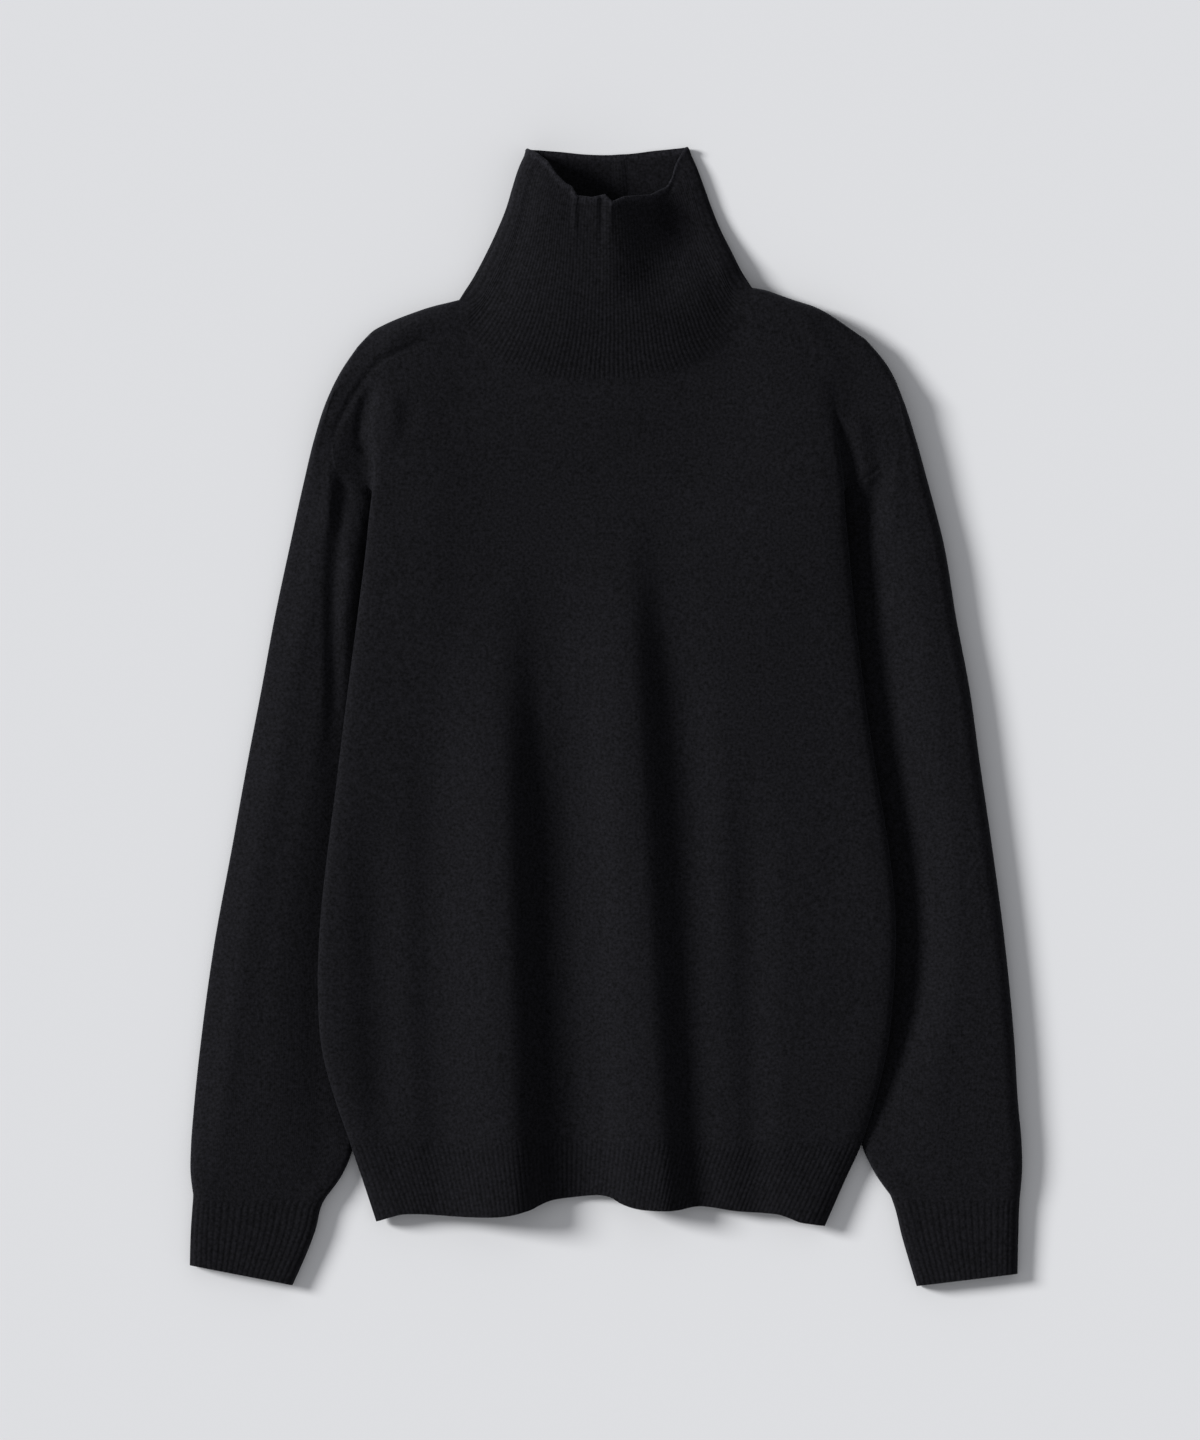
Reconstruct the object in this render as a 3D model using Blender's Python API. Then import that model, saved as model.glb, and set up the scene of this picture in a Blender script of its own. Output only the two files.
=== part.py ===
"""Turtleneck sweater of fine black knit, laid flat on its back.

Lengths in the tables are millimetres.  X runs across the sweater, Y from the hem to the collar, Z up from the
surface that it lies on.  The origin is the middle of the whole sweater's outline, on that surface.
"""
import math
from collections import defaultdict, namedtuple

import bmesh
import bpy
from mathutils import Vector

MM = 0.001
WALL = 2.0             # thickness of the knitted cloth
SEAM_GAP = 0.3         # between two pieces at a seam
RIB_PITCH = 3.6        # from one raised rib to the next
RIB_RISE = 0.45        # how far a rib stands out of the wall
UNDERARM_Y = 157.0     # where the side seams reach the armholes
RIB_TOP_Y = -289.0     # where the body meets the hem rib
SHOULDER_Y = {-1: 240.0, 1: 235.0}     # where the armhole meets the shoulder seam, left and right
CREST_INSET = 18.0     # from the body's edge to the crest of its rounded side
SHOULDER_COLUMNS = 3   # columns of the front between the rounded side and the collar, on each side
NECK_COLUMNS = 34      # columns of the front along the collar
BACK_HEM_RISE = 22.0   # how much higher the back's hem lies in the middle than at its corners
SIDE_FALL = {-1: 34.0, 1: 60.0}    # over what distance the front falls from its left and right crest
FOLD_MARGIN = 25.0     # distance from the crests over which the folds fade out
NECK_RISE = 5.0        # how much the front rises below the collar
NECK_RISE_WIDTH = 75.0
NECK_RISE_Y = (150.0, 230.0)       # where that rise begins and is full
NECK_DEPTH = 64.0      # from the collar's corners down to the lowest point of its seam
NECK_CURVE = 2.3       # 2 would make that seam a half ellipse, more makes it squarer
TROUGH_FADE = (0.2, 0.45)          # shares of a trough's length over which it deepens and runs out
COLLAR_LEFT_ROUND = 4.0            # as the column round of the collar's rings, for its left half
COLLAR_CORNER = 0.35   # how much of the front's drop the collar's side takes up next to the shoulder
YARN = (0.008, 0.008, 0.0095, 1.0)

# The body's two edges, as distances from the centre line.  Reach is how far the seam lies outside the edge: the
# armhole seam above the underarm, the side seam tucked in under the body below it.
Edge = namedtuple("Edge", "y left right left_reach right_reach")
BODY_EDGES = (
    Edge(-352, 159, 151, -1.5, -1.5),
    Edge(-343, 160.5, 155, -1.8, -1.8),
    Edge(-329, 166, 162, -2.5, -2.5),
    Edge(-315, 171, 168, -4, -4),
    Edge(-299, 176.5, 176, -8, -8),
    Edge(-289, 180, 180, -12, -12),
    Edge(-266, 188, 187, -18, -18),
    Edge(-232, 197, 195, -20, -20),
    Edge(-183, 200, 200, -20, -20),
    Edge(-127, 197, 200.5, -20, -20),
    Edge(-62, 189, 191.5, -20, -20),
    Edge(-20, 184, 184.5, -20, -20),
    Edge(27, 178, 178, -20, -20),
    Edge(89, 170, 171, -19, -19),
    Edge(122, 166, 168, -14, -14),
    Edge(138, 164.5, 166.5, -8, -8),
    Edge(157, 162, 165, 1, 1),
    Edge(164, 161, 164, 10, 12),
    Edge(171, 160.5, 163, 20, 27),
    Edge(180, 161.5, 161.5, 27.5, 33.5),
    Edge(194, 167, 159, 21, 35.5),
    Edge(211, 164, 158, 17.5, 30),
    Edge(226, 160, 157.5, 13.5, 22),
    Edge(241, 157, 158, 6, 10),
)

# Heights of the body's side: crest on top, nose at the edge, seam, then how far the cloth drops straight down
# from the nose and how far it lifts on leaving the seam.
Side = namedtuple("Side", "y crest nose seam drop lift")
BODY_SIDES = (
    Side(-352, 13, 6.5, 3.6, 1.5, 1.0),
    Side(-315, 15, 8, 4, 2, 1),
    Side(-289, 20, 12, 4.5, 3.5, 1.2),
    Side(-232, 25, 18, 6, 5, 2.2),
    Side(100, 26, 19, 6, 5, 2.2),
    Side(138, 25, 19.5, 7, 6, 1.5),
    Side(157, 24, 20, 8, 7, 0.8),
    Side(164, 24, 20, 11.5, 11, -1.5),
    Side(180, 23, 20, 15, 13, -1.5),
    Side(211, 20.5, 18.5, 16, 5, -0.5),
    Side(241, 18, 17, 16.5, 0.6, 0),
)

# The body's height midway between its sides.
Middle = namedtuple("Middle", "y height")
BODY_MIDDLE = (
    Middle(-352, 11), Middle(-289, 14), Middle(-200, 18), Middle(0, 18.5), Middle(150, 18), Middle(280, 17.5),
)

# Long soft folds of the front: the crest's place where the fold begins and at the hem, its height and the
# widths of its two flanks.
Fold = namedtuple("Fold", "begin_y full_y begin_x hem_x height left right")
FRONT_FOLDS = (
    Fold(125, -80, -77, -65, 12.5, 58, 30),
    Fold(165, 10, 10, 39, 13.5, 62, 29),
    Fold(0, -190, 75, 80, 5, 24, 25),
)

# The hem's edge as laid.
Hem = namedtuple("Hem", "x y")
HEM_EDGE = (
    Hem(-159, -350.5), Hem(-139, -345.5), Hem(-92, -347.6), Hem(-69, -346.9), Hem(-51, -342),
    Hem(-41, -336.8), Hem(-24, -333.8), Hem(0, -332.6), Hem(9, -337.5), Hem(22, -342), Hem(46, -343.2),
    Hem(65, -340), Hem(90, -343.3), Hem(121, -346), Hem(134, -351), Hem(151, -353.6),
)

# Forward shoulder seam, from the armhole to the collar, and the shoulder's outline above it.
Seam = namedtuple("Seam", "x y")
SHOULDER_SEAM = {
    -1: (Seam(98.6, 266), Seam(118, 263.5), Seam(131, 258.5), Seam(150, 249.5), Seam(163, 240)),
    1: (Seam(98.6, 276), Seam(128, 269), Seam(150, 256.5), Seam(168, 235)),
}
SHOULDER_OUTLINE = {
    -1: (Seam(102, 289.2), Seam(128, 282.3), Seam(160.5, 268.5), Seam(172.5, 256.6)),
    1: (Seam(101.4, 297.6), Seam(110.5, 296), Seam(130, 289.2), Seam(149.5, 282.3), Seam(180, 262)),
}

# A rounded edge seen in section: how far in from the outline, and what share of the full height.
Round = namedtuple("Round", "inset share")
ROUNDED_EDGE = (Round(6.5, 0.95), Round(1.9, 0.76), Round(0, 0.46), Round(1.9, 0.15), Round(7, 0))

# Back armhole on the surface below, from the underarm up.
BackArm = namedtuple("BackArm", "share inset height")
BACK_ARMHOLE = (
    BackArm(0, 0, 8), BackArm(0.08, 0, 3.2), BackArm(0.2, 2, 0), BackArm(0.4, 8, 0),
    BackArm(0.6, 6, 0), BackArm(0.8, 3, 0), BackArm(1, 0, 0),
)

# Rings of the sleeves from the armhole down: inner and outer point of the flattened tube, how far the ring bows
# towards the cuff, its height and the thickness of its inner edge, which is tucked under the body.
Ring = namedtuple("Ring", "inner_x inner_y outer_x outer_y bow height edge")
SLEEVE_RINGS = {
    -1: (
        Ring(162.5, 141, 185, 238, 20, 15.5, 7),
        Ring(159.5, 127, 194.5, 218, 18, 15.5, 7),
        Ring(158, 112, 202.5, 193, 14, 15.5, 7),
        Ring(157, 90, 210, 162, 8, 15.5, 7),
        Ring(157.6, 62, 219.4, 119, 4, 15.5, 7),
        Ring(160.4, 28, 230, 69, 0, 15.5, 7),
        Ring(165.2, -10, 239.4, 18, 0, 15.5, 7),
        Ring(171, -52, 249, -32, 0, 15.5, 7),
        Ring(178.5, -105, 259.5, -90, 0, 15, 7),
        Ring(184, -166, 272, -158, 0, 14.5, 7),
        Ring(182.5, -226, 281, -223, 0, 14.5, 7),
        Ring(177.4, -270, 286, -270, 0, 14.5, 7),
        Ring(175.7, -299, 288.2, -299, 0, 14, 8),
        Ring(182, -316, 288.5, -316, 0, 13.2, 9.6),
        Ring(193, -332, 286.6, -332, 0, 12, 10.6),
    ),
    1: (
        Ring(166.5, 141, 197, 241, 20, 15.5, 7),
        Ring(164.5, 127, 207, 218, 20, 15.5, 7),
        Ring(162, 112, 215, 193, 15, 15.5, 7),
        Ring(160, 90, 223.6, 162, 8, 15.5, 7),
        Ring(160.5, 62, 234.7, 119, 4, 15.5, 7),
        Ring(163, 28, 243, 69, 0, 15.5, 7),
        Ring(168, -10, 252.6, 18, 0, 15.5, 7),
        Ring(174.5, -52, 259.5, -32, 0, 15.5, 7),
        Ring(182.5, -105, 268, -90, 0, 15, 7),
        Ring(184.5, -166, 277, -158, 0, 14.5, 7),
        Ring(181.5, -226, 283.3, -223, 0, 14.5, 7),
        Ring(177, -270, 286.2, -270, 0, 14.5, 7),
        Ring(177, -295, 288.5, -295, 0, 14, 8),
        Ring(185.5, -315, 288.9, -315, 0, 13.2, 9.6),
        Ring(197.2, -332, 287.5, -332, 0, 12, 10.6),
    ),
}
SLEEVE_RISE = 0.5     # share of the tube's width over which it rises from its inner edge to its full height

# Troughs along the sleeves: where each begins and ends, its depth and half its width.
Trough = namedtuple("Trough", "begin_x begin_y end_x end_y depth width")
SLEEVE_TROUGHS = {
    -1: (Trough(182, 190, 192, -90, 3, 17),),
    1: (Trough(214, 160, 233, 0, 1.5, 16),),
}

# Rings of the cuffs, from the sleeve down.
CUFF_RINGS = {
    -1: (Ring(196, -336, 286.8, -336, 0, 11.7, 10.5), Ring(202, -356.5, 288.2, -356.5, 0, 10.9, 9.9),
         Ring(218, -394.8, 288.9, -381, 0, 10.3, 9.4)),
    1: (Ring(199, -336, 287, -336, 0, 11.7, 10.5), Ring(206, -362, 286, -360, 0, 10.9, 9.9),
        Ring(216, -395.4, 285.4, -387, 0, 10.3, 9.4)),
}

# Rings of the collar above the neckline: outline at each side, depth of the front and of the back below the line
# between them, heights of its crest and of its flattened sides, how wide those sides are, how straight its front
# runs, and how rounded its right half is: near 1 it falls evenly from the crest, at 4 it is flat with a steep side.
Collar = namedtuple("Collar", "left_x left_y right_x right_y front back crest side inset straight round")
COLLAR_RINGS = (
    Collar(94.5, 300, 95.5, 306, 59, 8, 24.5, 15.5, 6, 0.1, 4),
    Collar(83.5, 320, 87.2, 322, 53, 7.5, 29, 13.5, 9, 0.25, 3.2),
    Collar(75.7, 336.5, 79, 338.5, 48.5, 6.7, 32, 12.5, 10.5, 0.45, 2.3),
    Collar(69, 353, 72.6, 354.5, 43.5, 5.5, 35, 12, 11, 0.65, 1.6),
    Collar(64.9, 367, 67.7, 368.4, 39, 5, 37, 12, 11, 0.85, 1.25),
    Collar(60.4, 381, 62.5, 382.3, 36.5, 5, 38, 12, 11, 1, 1.15),
    Collar(54.2, 394.2, 56.2, 395.5, 35.3, 5, 38, 12, 11, 1, 1.15),
)
RIM_BEND = {-1: (0.33, 0.62), 1: (0.52, 0.46)}    # where the rim starts to climb to each side, and over what share


def ease(share):
    share = min(max(share, 0.0), 1.0)
    return share * share * (3 - 2 * share)


def mix(first, second, share):
    return first + (second - first) * share


def reading(table, key):
    """The row of a table at a key between its own, read off smooth curves through each column."""
    rows = sorted(table)
    key = min(max(key, rows[0][0]), rows[-1][0])
    place = max(i for i in range(len(rows) - 1) if rows[i][0] <= key)
    low, high = rows[place], rows[place + 1]
    before = rows[max(place - 1, 0)]
    after = rows[min(place + 2, len(rows) - 1)]
    step = high[0] - low[0]
    t = (key - low[0]) / step
    values = []
    for a, b, c, d in zip(before, low, high, after):
        leaving = (c - a) / (high[0] - before[0]) * step
        arriving = (d - b) / (after[0] - low[0]) * step
        values.append(b + t * (leaving + t * (3 * (c - b) - 2 * leaving - arriving
                                              + t * (2 * (b - c) + leaving + arriving))))
    return type(low)(*values)


def bezier(a, b, c, d, t):
    s = 1 - t
    return a * s ** 3 + b * 3 * s * s * t + c * 3 * s * t * t + d * t ** 3


def spread(points, count):
    """Points at equal steps along a line through closely set points."""
    lengths = [0.0]
    for a, b in zip(points, points[1:]):
        lengths.append(lengths[-1] + (b - a).length)
    result = []
    place = 0
    for i in range(count):
        target = lengths[-1] * i / (count - 1)
        while place < len(points) - 2 and lengths[place + 1] < target:
            place += 1
        share = (target - lengths[place]) / (lengths[place + 1] - lengths[place])
        result.append(points[place].lerp(points[place + 1], share))
    return result


# ---- the body's surface ----------------------------------------------------------------------------------------

def side_section(side, y):
    """The front's cloth from the seam round the body's edge to the crest, as (distance from centre, height)."""
    edge = reading(BODY_EDGES, y)
    shape = reading(BODY_SIDES, y)
    half = edge.left if side < 0 else edge.right
    reach = edge.left_reach if side < 0 else edge.right_reach
    seam = Vector((half + reach, shape.seam))
    nose = Vector((half, shape.nose))
    crest = Vector((half - CREST_INSET, shape.crest))
    lead = seam + Vector((-0.4 * reach, shape.lift))
    below = nose - Vector((0, shape.drop))
    above = nose + Vector((0, 0.6 * (shape.crest - shape.nose)))
    under = [bezier(seam, lead, below, nose, t) for t in (0, 0.3, 0.6, 0.85)]
    over = [bezier(nose, above, crest + Vector((8, 0)), crest, t) for t in (0, 0.3, 0.6, 1)]
    return under + over


def fold_height(x, y):
    total = 0.0
    for fold in FRONT_FOLDS:
        grown = ease((fold.begin_y - y) / (fold.begin_y - fold.full_y))
        crest = mix(fold.begin_x, fold.hem_x, (fold.begin_y - y) / (fold.begin_y - HEM_EDGE[0].y))
        offset = x - crest
        share = min(abs(offset) / (fold.left if offset < 0 else fold.right), 1)
        total += fold.height * grown * math.cos(share * math.pi / 2) ** 2
    return total


def top_height(x, y, left_crest, right_crest):
    """Height of the front between its two crests, each a (distance from centre, height)."""
    middle = reading(BODY_MIDDLE, y).height
    height = middle
    for side, crest in ((-1, left_crest), (1, right_crest)):
        inward = crest[0] - side * x
        height += (crest[1] - middle) * math.exp(-(inward / SIDE_FALL[side]) ** 2)
    begin, full = NECK_RISE_Y
    neck_rise = NECK_RISE * math.exp(-(x / NECK_RISE_WIDTH) ** 2) * ease((y - begin) / (full - begin))
    window = ease((left_crest[0] + x) / FOLD_MARGIN) * ease((right_crest[0] - x) / FOLD_MARGIN)
    return height + neck_rise + fold_height(x, y) * window


def neckline_y(x, straight, depth, left, right):
    """How far the collar's front edge hangs at x, from an even curve to a straight-sided one."""
    centre = (right - left) / 2
    share = min(abs(x - centre) / ((left + right) / 2), 1)
    even = (1 - share ** NECK_CURVE) ** (1 / NECK_CURVE)
    start, length = RIM_BEND[-1 if x < centre else 1]
    sharp = 1 - ease((share - start) / length)
    return depth * mix(even, sharp, straight)


def neckline():
    """The line where the collar meets the front, from its left corner to its right one."""
    left, right = SHOULDER_OUTLINE[-1][0], SHOULDER_OUTLINE[1][0]
    first, last = SHOULDER_SEAM[-1][0], SHOULDER_SEAM[1][0]
    points = []
    for i in range(201):
        x = mix(-first.x, last.x, i / 200)
        tilt = mix(left.y, right.y, (x + left.x) / (left.x + right.x))
        points.append(Vector((x, tilt - neckline_y(x, 0, NECK_DEPTH, left.x, right.x))))
    points[0].y = first.y
    points[-1].y = last.y
    return spread(points, NECK_COLUMNS + 1)


def front_top():
    """Places along the front's upper edge: left shoulder seam, neckline, right shoulder seam."""
    sides = {}
    for side in (-1, 1):
        xs = [point.x for point in side_section(side, SHOULDER_Y[side])]
        inner = SHOULDER_SEAM[side][0].x
        xs += [mix(xs[-1], inner, i / SHOULDER_COLUMNS) for i in range(1, SHOULDER_COLUMNS)]
        sides[side] = [Vector((side * x, reading(SHOULDER_SEAM[side], x).y)) for x in xs]
    return sides[-1] + neckline() + sides[1][::-1]


def front_row(y_left, y_right, rise, top):
    """One row of the front from seam to seam.  Rise is 0 up to the underarm and 1 at the upper edge."""
    left = side_section(-1, y_left)
    right = side_section(1, y_right)
    count = len(top)
    inner = count - len(left) - len(right)
    row = []
    for i in range(count):
        y = mix(y_left, y_right, i / (count - 1))
        if rise > 0:
            y = mix(UNDERARM_Y, top[i].y, rise)
        if i < len(left):
            row.append(Vector((-left[i].x, y, left[i].y)))
        elif i >= count - len(right):
            point = right[count - 1 - i]
            row.append(Vector((point.x, y, point.y)))
        else:
            x = mix(-left[-1].x, right[-1].x, (i - len(left) + 1) / (inner + 1))
            x = mix(x, top[i].x, rise * rise)
            row.append(Vector((x, y, top_height(x, y, left[-1], right[-1]))))
    return row


TORSO_LEVELS = (-289, -266, -232, -190, -145, -98, -50, 0, 50, 89, 118, 138, 148)
ARM_STEPS = (0, 0.085, 0.17, 0.28, 0.42, 0.57, 0.72, 0.87, 1)


def front_rows():
    top = front_top()
    rows = [front_row(y, y, 0, top) for y in TORSO_LEVELS]
    for step in ARM_STEPS:
        levels = [mix(UNDERARM_Y, SHOULDER_Y[side], step) for side in (-1, 1)]
        rows.append(front_row(levels[0], levels[1], step, top))
    return rows


def hem_rows(first_row):
    """Rows of the hem rib: the front's lowest row, then down to the hem's edge."""
    top = front_top()
    rows = [first_row]
    for share in (0.07, 0.5, 1):
        level = mix(RIB_TOP_Y, HEM_EDGE[0].y, share)
        row = front_row(level, level, 0, top)
        for point in row:
            point.y = mix(RIB_TOP_Y, reading(HEM_EDGE, point.x).y, share)
        rows.append(row)
    return rows


def shoulder_rows(side, seam_points):
    """The back's cloth from the forward shoulder seam over the shoulder's outline to the surface below."""
    count = len(seam_points)
    outline = [Vector((row.x, row.y)) for row in SHOULDER_OUTLINE[side]]
    fine = [reading(SHOULDER_OUTLINE[side], mix(outline[0].x, outline[-1].x, i / 60)) for i in range(61)]
    edge = spread([Vector((side * row.x, row.y)) for row in fine][::-1], count)
    rows = [list(seam_points)]
    for turn in ROUNDED_EDGE:
        row = []
        for seam, rim in zip(seam_points, edge):
            inward = (seam.to_2d() - rim).normalized()
            place = rim + inward * turn.inset
            row.append(Vector((place.x, place.y, seam.z * turn.share)))
        rows.append(row)
    return rows


def back_side(side, seam, y):
    """The back's rising edge below the side seam: seam first, then down to the surface."""
    fall = min(seam.z * 1.6, 11)
    return [Vector((seam.x - side * fall * inset, y, seam.z * share))
            for inset, share in ((0, 1), (0.25, 0.5), (0.6, 0.14), (1, 0))]


def flat_row(left, right, count, top, rise):
    """A row of the back that lies on the surface between its two rising edges."""
    inner = count - len(left) - len(right)
    row = list(left)
    for i in range(1, inner + 1):
        x = mix(left[-1].x, right[-1].x, i / (inner + 1))
        y = mix(left[-1].y, right[-1].y, i / (inner + 1))
        if rise > 0:
            place = top[len(left) + i - 1]
            x = mix(x, place.x, rise * rise)
            y = mix(UNDERARM_Y, place.y, rise)
        row.append(Vector((x, y, 0)))
    return row + right[::-1]


def back_rows(front, shoulders, neck_count=6):
    """Rows of the back below the shoulders, from the hem rib to the back neckline."""
    top = list(shoulders[-1][-1])
    first, last = shoulders[-1][-1][-1], shoulders[1][-1][-1]
    for i in range(1, neck_count):
        share = i / neck_count
        top.append(Vector((mix(first.x, last.x, share),
                           mix(first.y, last.y, share) - 5 * math.sin(math.pi * share), 0)))
    top += shoulders[1][-1][::-1]
    rows = []
    for row in front[:len(TORSO_LEVELS) + 1]:
        left = back_side(-1, row[0], row[0].y)
        right = back_side(1, row[-1], row[-1].y)
        rows.append(flat_row(left, right, len(top), top, 0))
    underarm = rows[-1]
    for step in ARM_STEPS[1:-1]:
        sides = {}
        for side in (-1, 1):
            arm = reading(BACK_ARMHOLE, step)
            low = underarm[0] if side < 0 else underarm[-1]
            high = top[0] if side < 0 else top[-1]
            place = low.lerp(high, step)
            seam = Vector((place.x + side * arm.inset, place.y, max(arm.height, 0)))
            inner = underarm[3] if side < 0 else underarm[-4]
            goal = top[3] if side < 0 else top[-4]
            foot = inner.lerp(goal, step)
            sides[side] = [seam.lerp(foot, share) for share in (0, 0.3, 0.65, 1)]
            for point in sides[side][1:]:
                point.z *= 0.4
            sides[side][3].z = 0
        row = flat_row(sides[-1], sides[1], len(top), top, step)
        rows.append(row)
    rows.append(top)
    return rows


# ---- sleeves, cuffs and collar ---------------------------------------------------------------------------------

def sleeve_heights(width, height, inner):
    """One ring of a flattened tube as (distance from its inner edge, height), from the inner edge over the top."""
    ring = [(0.0, inner / 2), (2.2, inner * 0.9)]
    first, last = 6.5, width - 13
    steps = len(ARM_STEPS) - 3
    for i in range(steps + 1):
        across = mix(first, last, i / steps)
        ring.append((across, mix(inner, height, ease(across / width / SLEEVE_RISE))))
    for turn in ROUNDED_EDGE:
        ring.append((width - turn.inset, height * turn.share))
    for i in range(1, steps + 1):
        ring.append((mix(width - 7, 5.5, i / steps), 0.0))
    ring.append((1.9, 0.7))
    return ring


def trough_depth(side, place):
    total = 0.0
    for trough in SLEEVE_TROUGHS[side]:
        begin = Vector((side * trough.begin_x, trough.begin_y))
        end = Vector((side * trough.end_x, trough.end_y))
        along = (place - begin).dot(end - begin) / (end - begin).length_squared
        off = (place - begin.lerp(end, along)).length
        grown = ease(along / TROUGH_FADE[0]) * ease((1 - along) / TROUGH_FADE[1])
        total += trough.depth * grown * math.cos(min(off / trough.width, 1) * math.pi / 2) ** 2
    return total


def tube_ring(side, ring):
    inner = Vector((side * ring.inner_x, ring.inner_y))
    outer = Vector((side * ring.outer_x, ring.outer_y))
    along = (outer - inner).normalized()
    down = Vector((along.y, -along.x)) * side
    width = (outer - inner).length
    points = []
    for across, height in sleeve_heights(width, ring.height, ring.edge):
        share = across / width
        place = inner + along * across + down * ring.bow * math.sin(math.pi * share)
        if height > ring.edge:
            height -= trough_depth(side, place)
        points.append(Vector((place.x, place.y, height)))
    return points


def armhole(side, front, shoulder, back):
    """The ring where a sleeve is set in: up the front, over the shoulder, down the back."""
    column = 0 if side < 0 else -1
    upper = [row[column] for row in front[len(TORSO_LEVELS):]]
    over = [row[0] for row in shoulder[1:]]
    lower = [row[column] for row in back[len(TORSO_LEVELS) + 1:-1]]
    return upper + over + lower[::-1]


def collar_base(front, shoulders, back):
    """The ring where the collar is joined on: across the front, round the right, along the back, round the left."""
    side_count = len(side_section(-1, 0)) + SHOULDER_COLUMNS - 1
    across = front[-1][side_count:-side_count]
    right = [row[-1] for row in shoulders[1][1:]]
    left = [row[-1] for row in shoulders[-1][1:]]
    shoulder_count = len(shoulders[1][-1])
    behind = back[-1][shoulder_count:-shoulder_count]
    return across + right + behind[::-1] + left[::-1]


def collar_ring(ring, front_count, back_count):
    width = ring.left_x + ring.right_x

    def line_y(x):
        return mix(ring.left_y, ring.right_y, (x + ring.left_x) / width)

    def front_point(x):
        off = x - (ring.right_x - ring.left_x) / 2
        share = min(abs(off) / (width / 2), 1)
        y = line_y(x) - neckline_y(x, ring.straight, ring.front, ring.left_x, ring.right_x)
        height = mix(ring.side, ring.crest, 1 - share ** (COLLAR_LEFT_ROUND if off < 0 else ring.round))
        return Vector((x, y, height))

    fine = [front_point(mix(ring.inset - ring.left_x, ring.right_x - ring.inset, i / 120)) for i in range(121)]
    points = spread(fine, front_count)
    drop = mix(COLLAR_CORNER, 1, ease(ring.straight))
    for side, edge_x, start in ((1, ring.right_x, points[-1]), (-1, -ring.left_x, points[0])):
        corner = []
        for turn in ROUNDED_EDGE:
            x = edge_x - side * turn.inset
            back_y = line_y(x) - ring.back * math.sin(math.pi * turn.inset / width)
            y = mix(back_y, front_point(x).y, ease(turn.share) * drop)
            corner.append(Vector((x, y, start.z * turn.share)))
        if side > 0:
            points += corner
            for i in range(1, back_count + 1):
                share = i / (back_count + 1)
                x = mix(ring.right_x - 7, 7 - ring.left_x, share)
                points.append(Vector((x, line_y(x) - ring.back * math.sin(math.pi * share), 0)))
        else:
            points += corner[::-1]
    return points


# ---- cloth solids ----------------------------------------------------------------------------------------------

class Sheet:
    """One piece of cloth as a net of quads on its outer side."""

    def __init__(self, name, group):
        self.name = name
        self.group = group      # the pieces whose cloth runs on smoothly over their common seams
        self.points = []
        self.places = {}
        self.quads = []
        self.ribbed = {}        # vertex pair of a ribbed edge: strength and number of the ribs there

    def vertex(self, point):
        key = place_key(point)
        if key not in self.places:
            self.places[key] = len(self.points)
            self.points.append(point.copy())
        return self.places[key]

    def add_net(self, rows, turned=False, closed=False, rib_rows=None, rib_columns=None):
        net = [[self.vertex(point) for point in row] for row in rows]
        width = len(net[0])
        for r in range(len(net) - 1):
            for c in range(width if closed else width - 1):
                d = (c + 1) % width
                quad = [net[r][c], net[r][d], net[r + 1][d], net[r + 1][c]]
                self.quads.append(quad[::-1] if turned else quad)
        if rib_rows:
            for r, strength in enumerate(rib_rows):
                for c in rib_columns:
                    d = (c + 1) % width
                    self.ribbed[(net[r][c], net[r][d])] = (strength, rib_columns[c])


def place_key(point):
    return tuple(round(value, 3) for value in point)


def face_normal(points):
    return (points[2] - points[0]).cross(points[3] - points[1])


def shared_normals(sheets):
    """Normals of the outer side of several sheets, so that neighbours agree at their seams."""
    total = defaultdict(Vector)
    for sheet in sheets:
        for quad in sheet.quads:
            corners = [sheet.points[i] for i in quad]
            normal = face_normal(corners)
            for corner in corners:
                key = place_key(corner)
                total[key] = total[key] + normal if key in total else normal.copy()
    return {key: value.normalized() for key, value in total.items()}


def border_shifts(sheet):
    """How far each border vertex draws back from the seam, along the cloth."""
    owners = defaultdict(list)
    for quad in sheet.quads:
        for a, b in zip(quad, quad[1:] + quad[:1]):
            owners[frozenset((a, b))].append((a, b, quad))
    inward = defaultdict(list)
    border = []
    for uses in owners.values():
        if len(uses) == 1:
            a, b, quad = uses[0]
            normal = face_normal([sheet.points[i] for i in quad]).normalized()
            across = normal.cross(sheet.points[b] - sheet.points[a]).normalized()
            inward[a].append(across)
            inward[b].append(across)
            border.append((a, b))
    shifts = {}
    for vertex, ways in inward.items():
        total = ways[0] + ways[-1]
        shifts[vertex] = total / (1 + ways[0].dot(ways[-1])) * SEAM_GAP / 2
    return border, shifts


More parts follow.
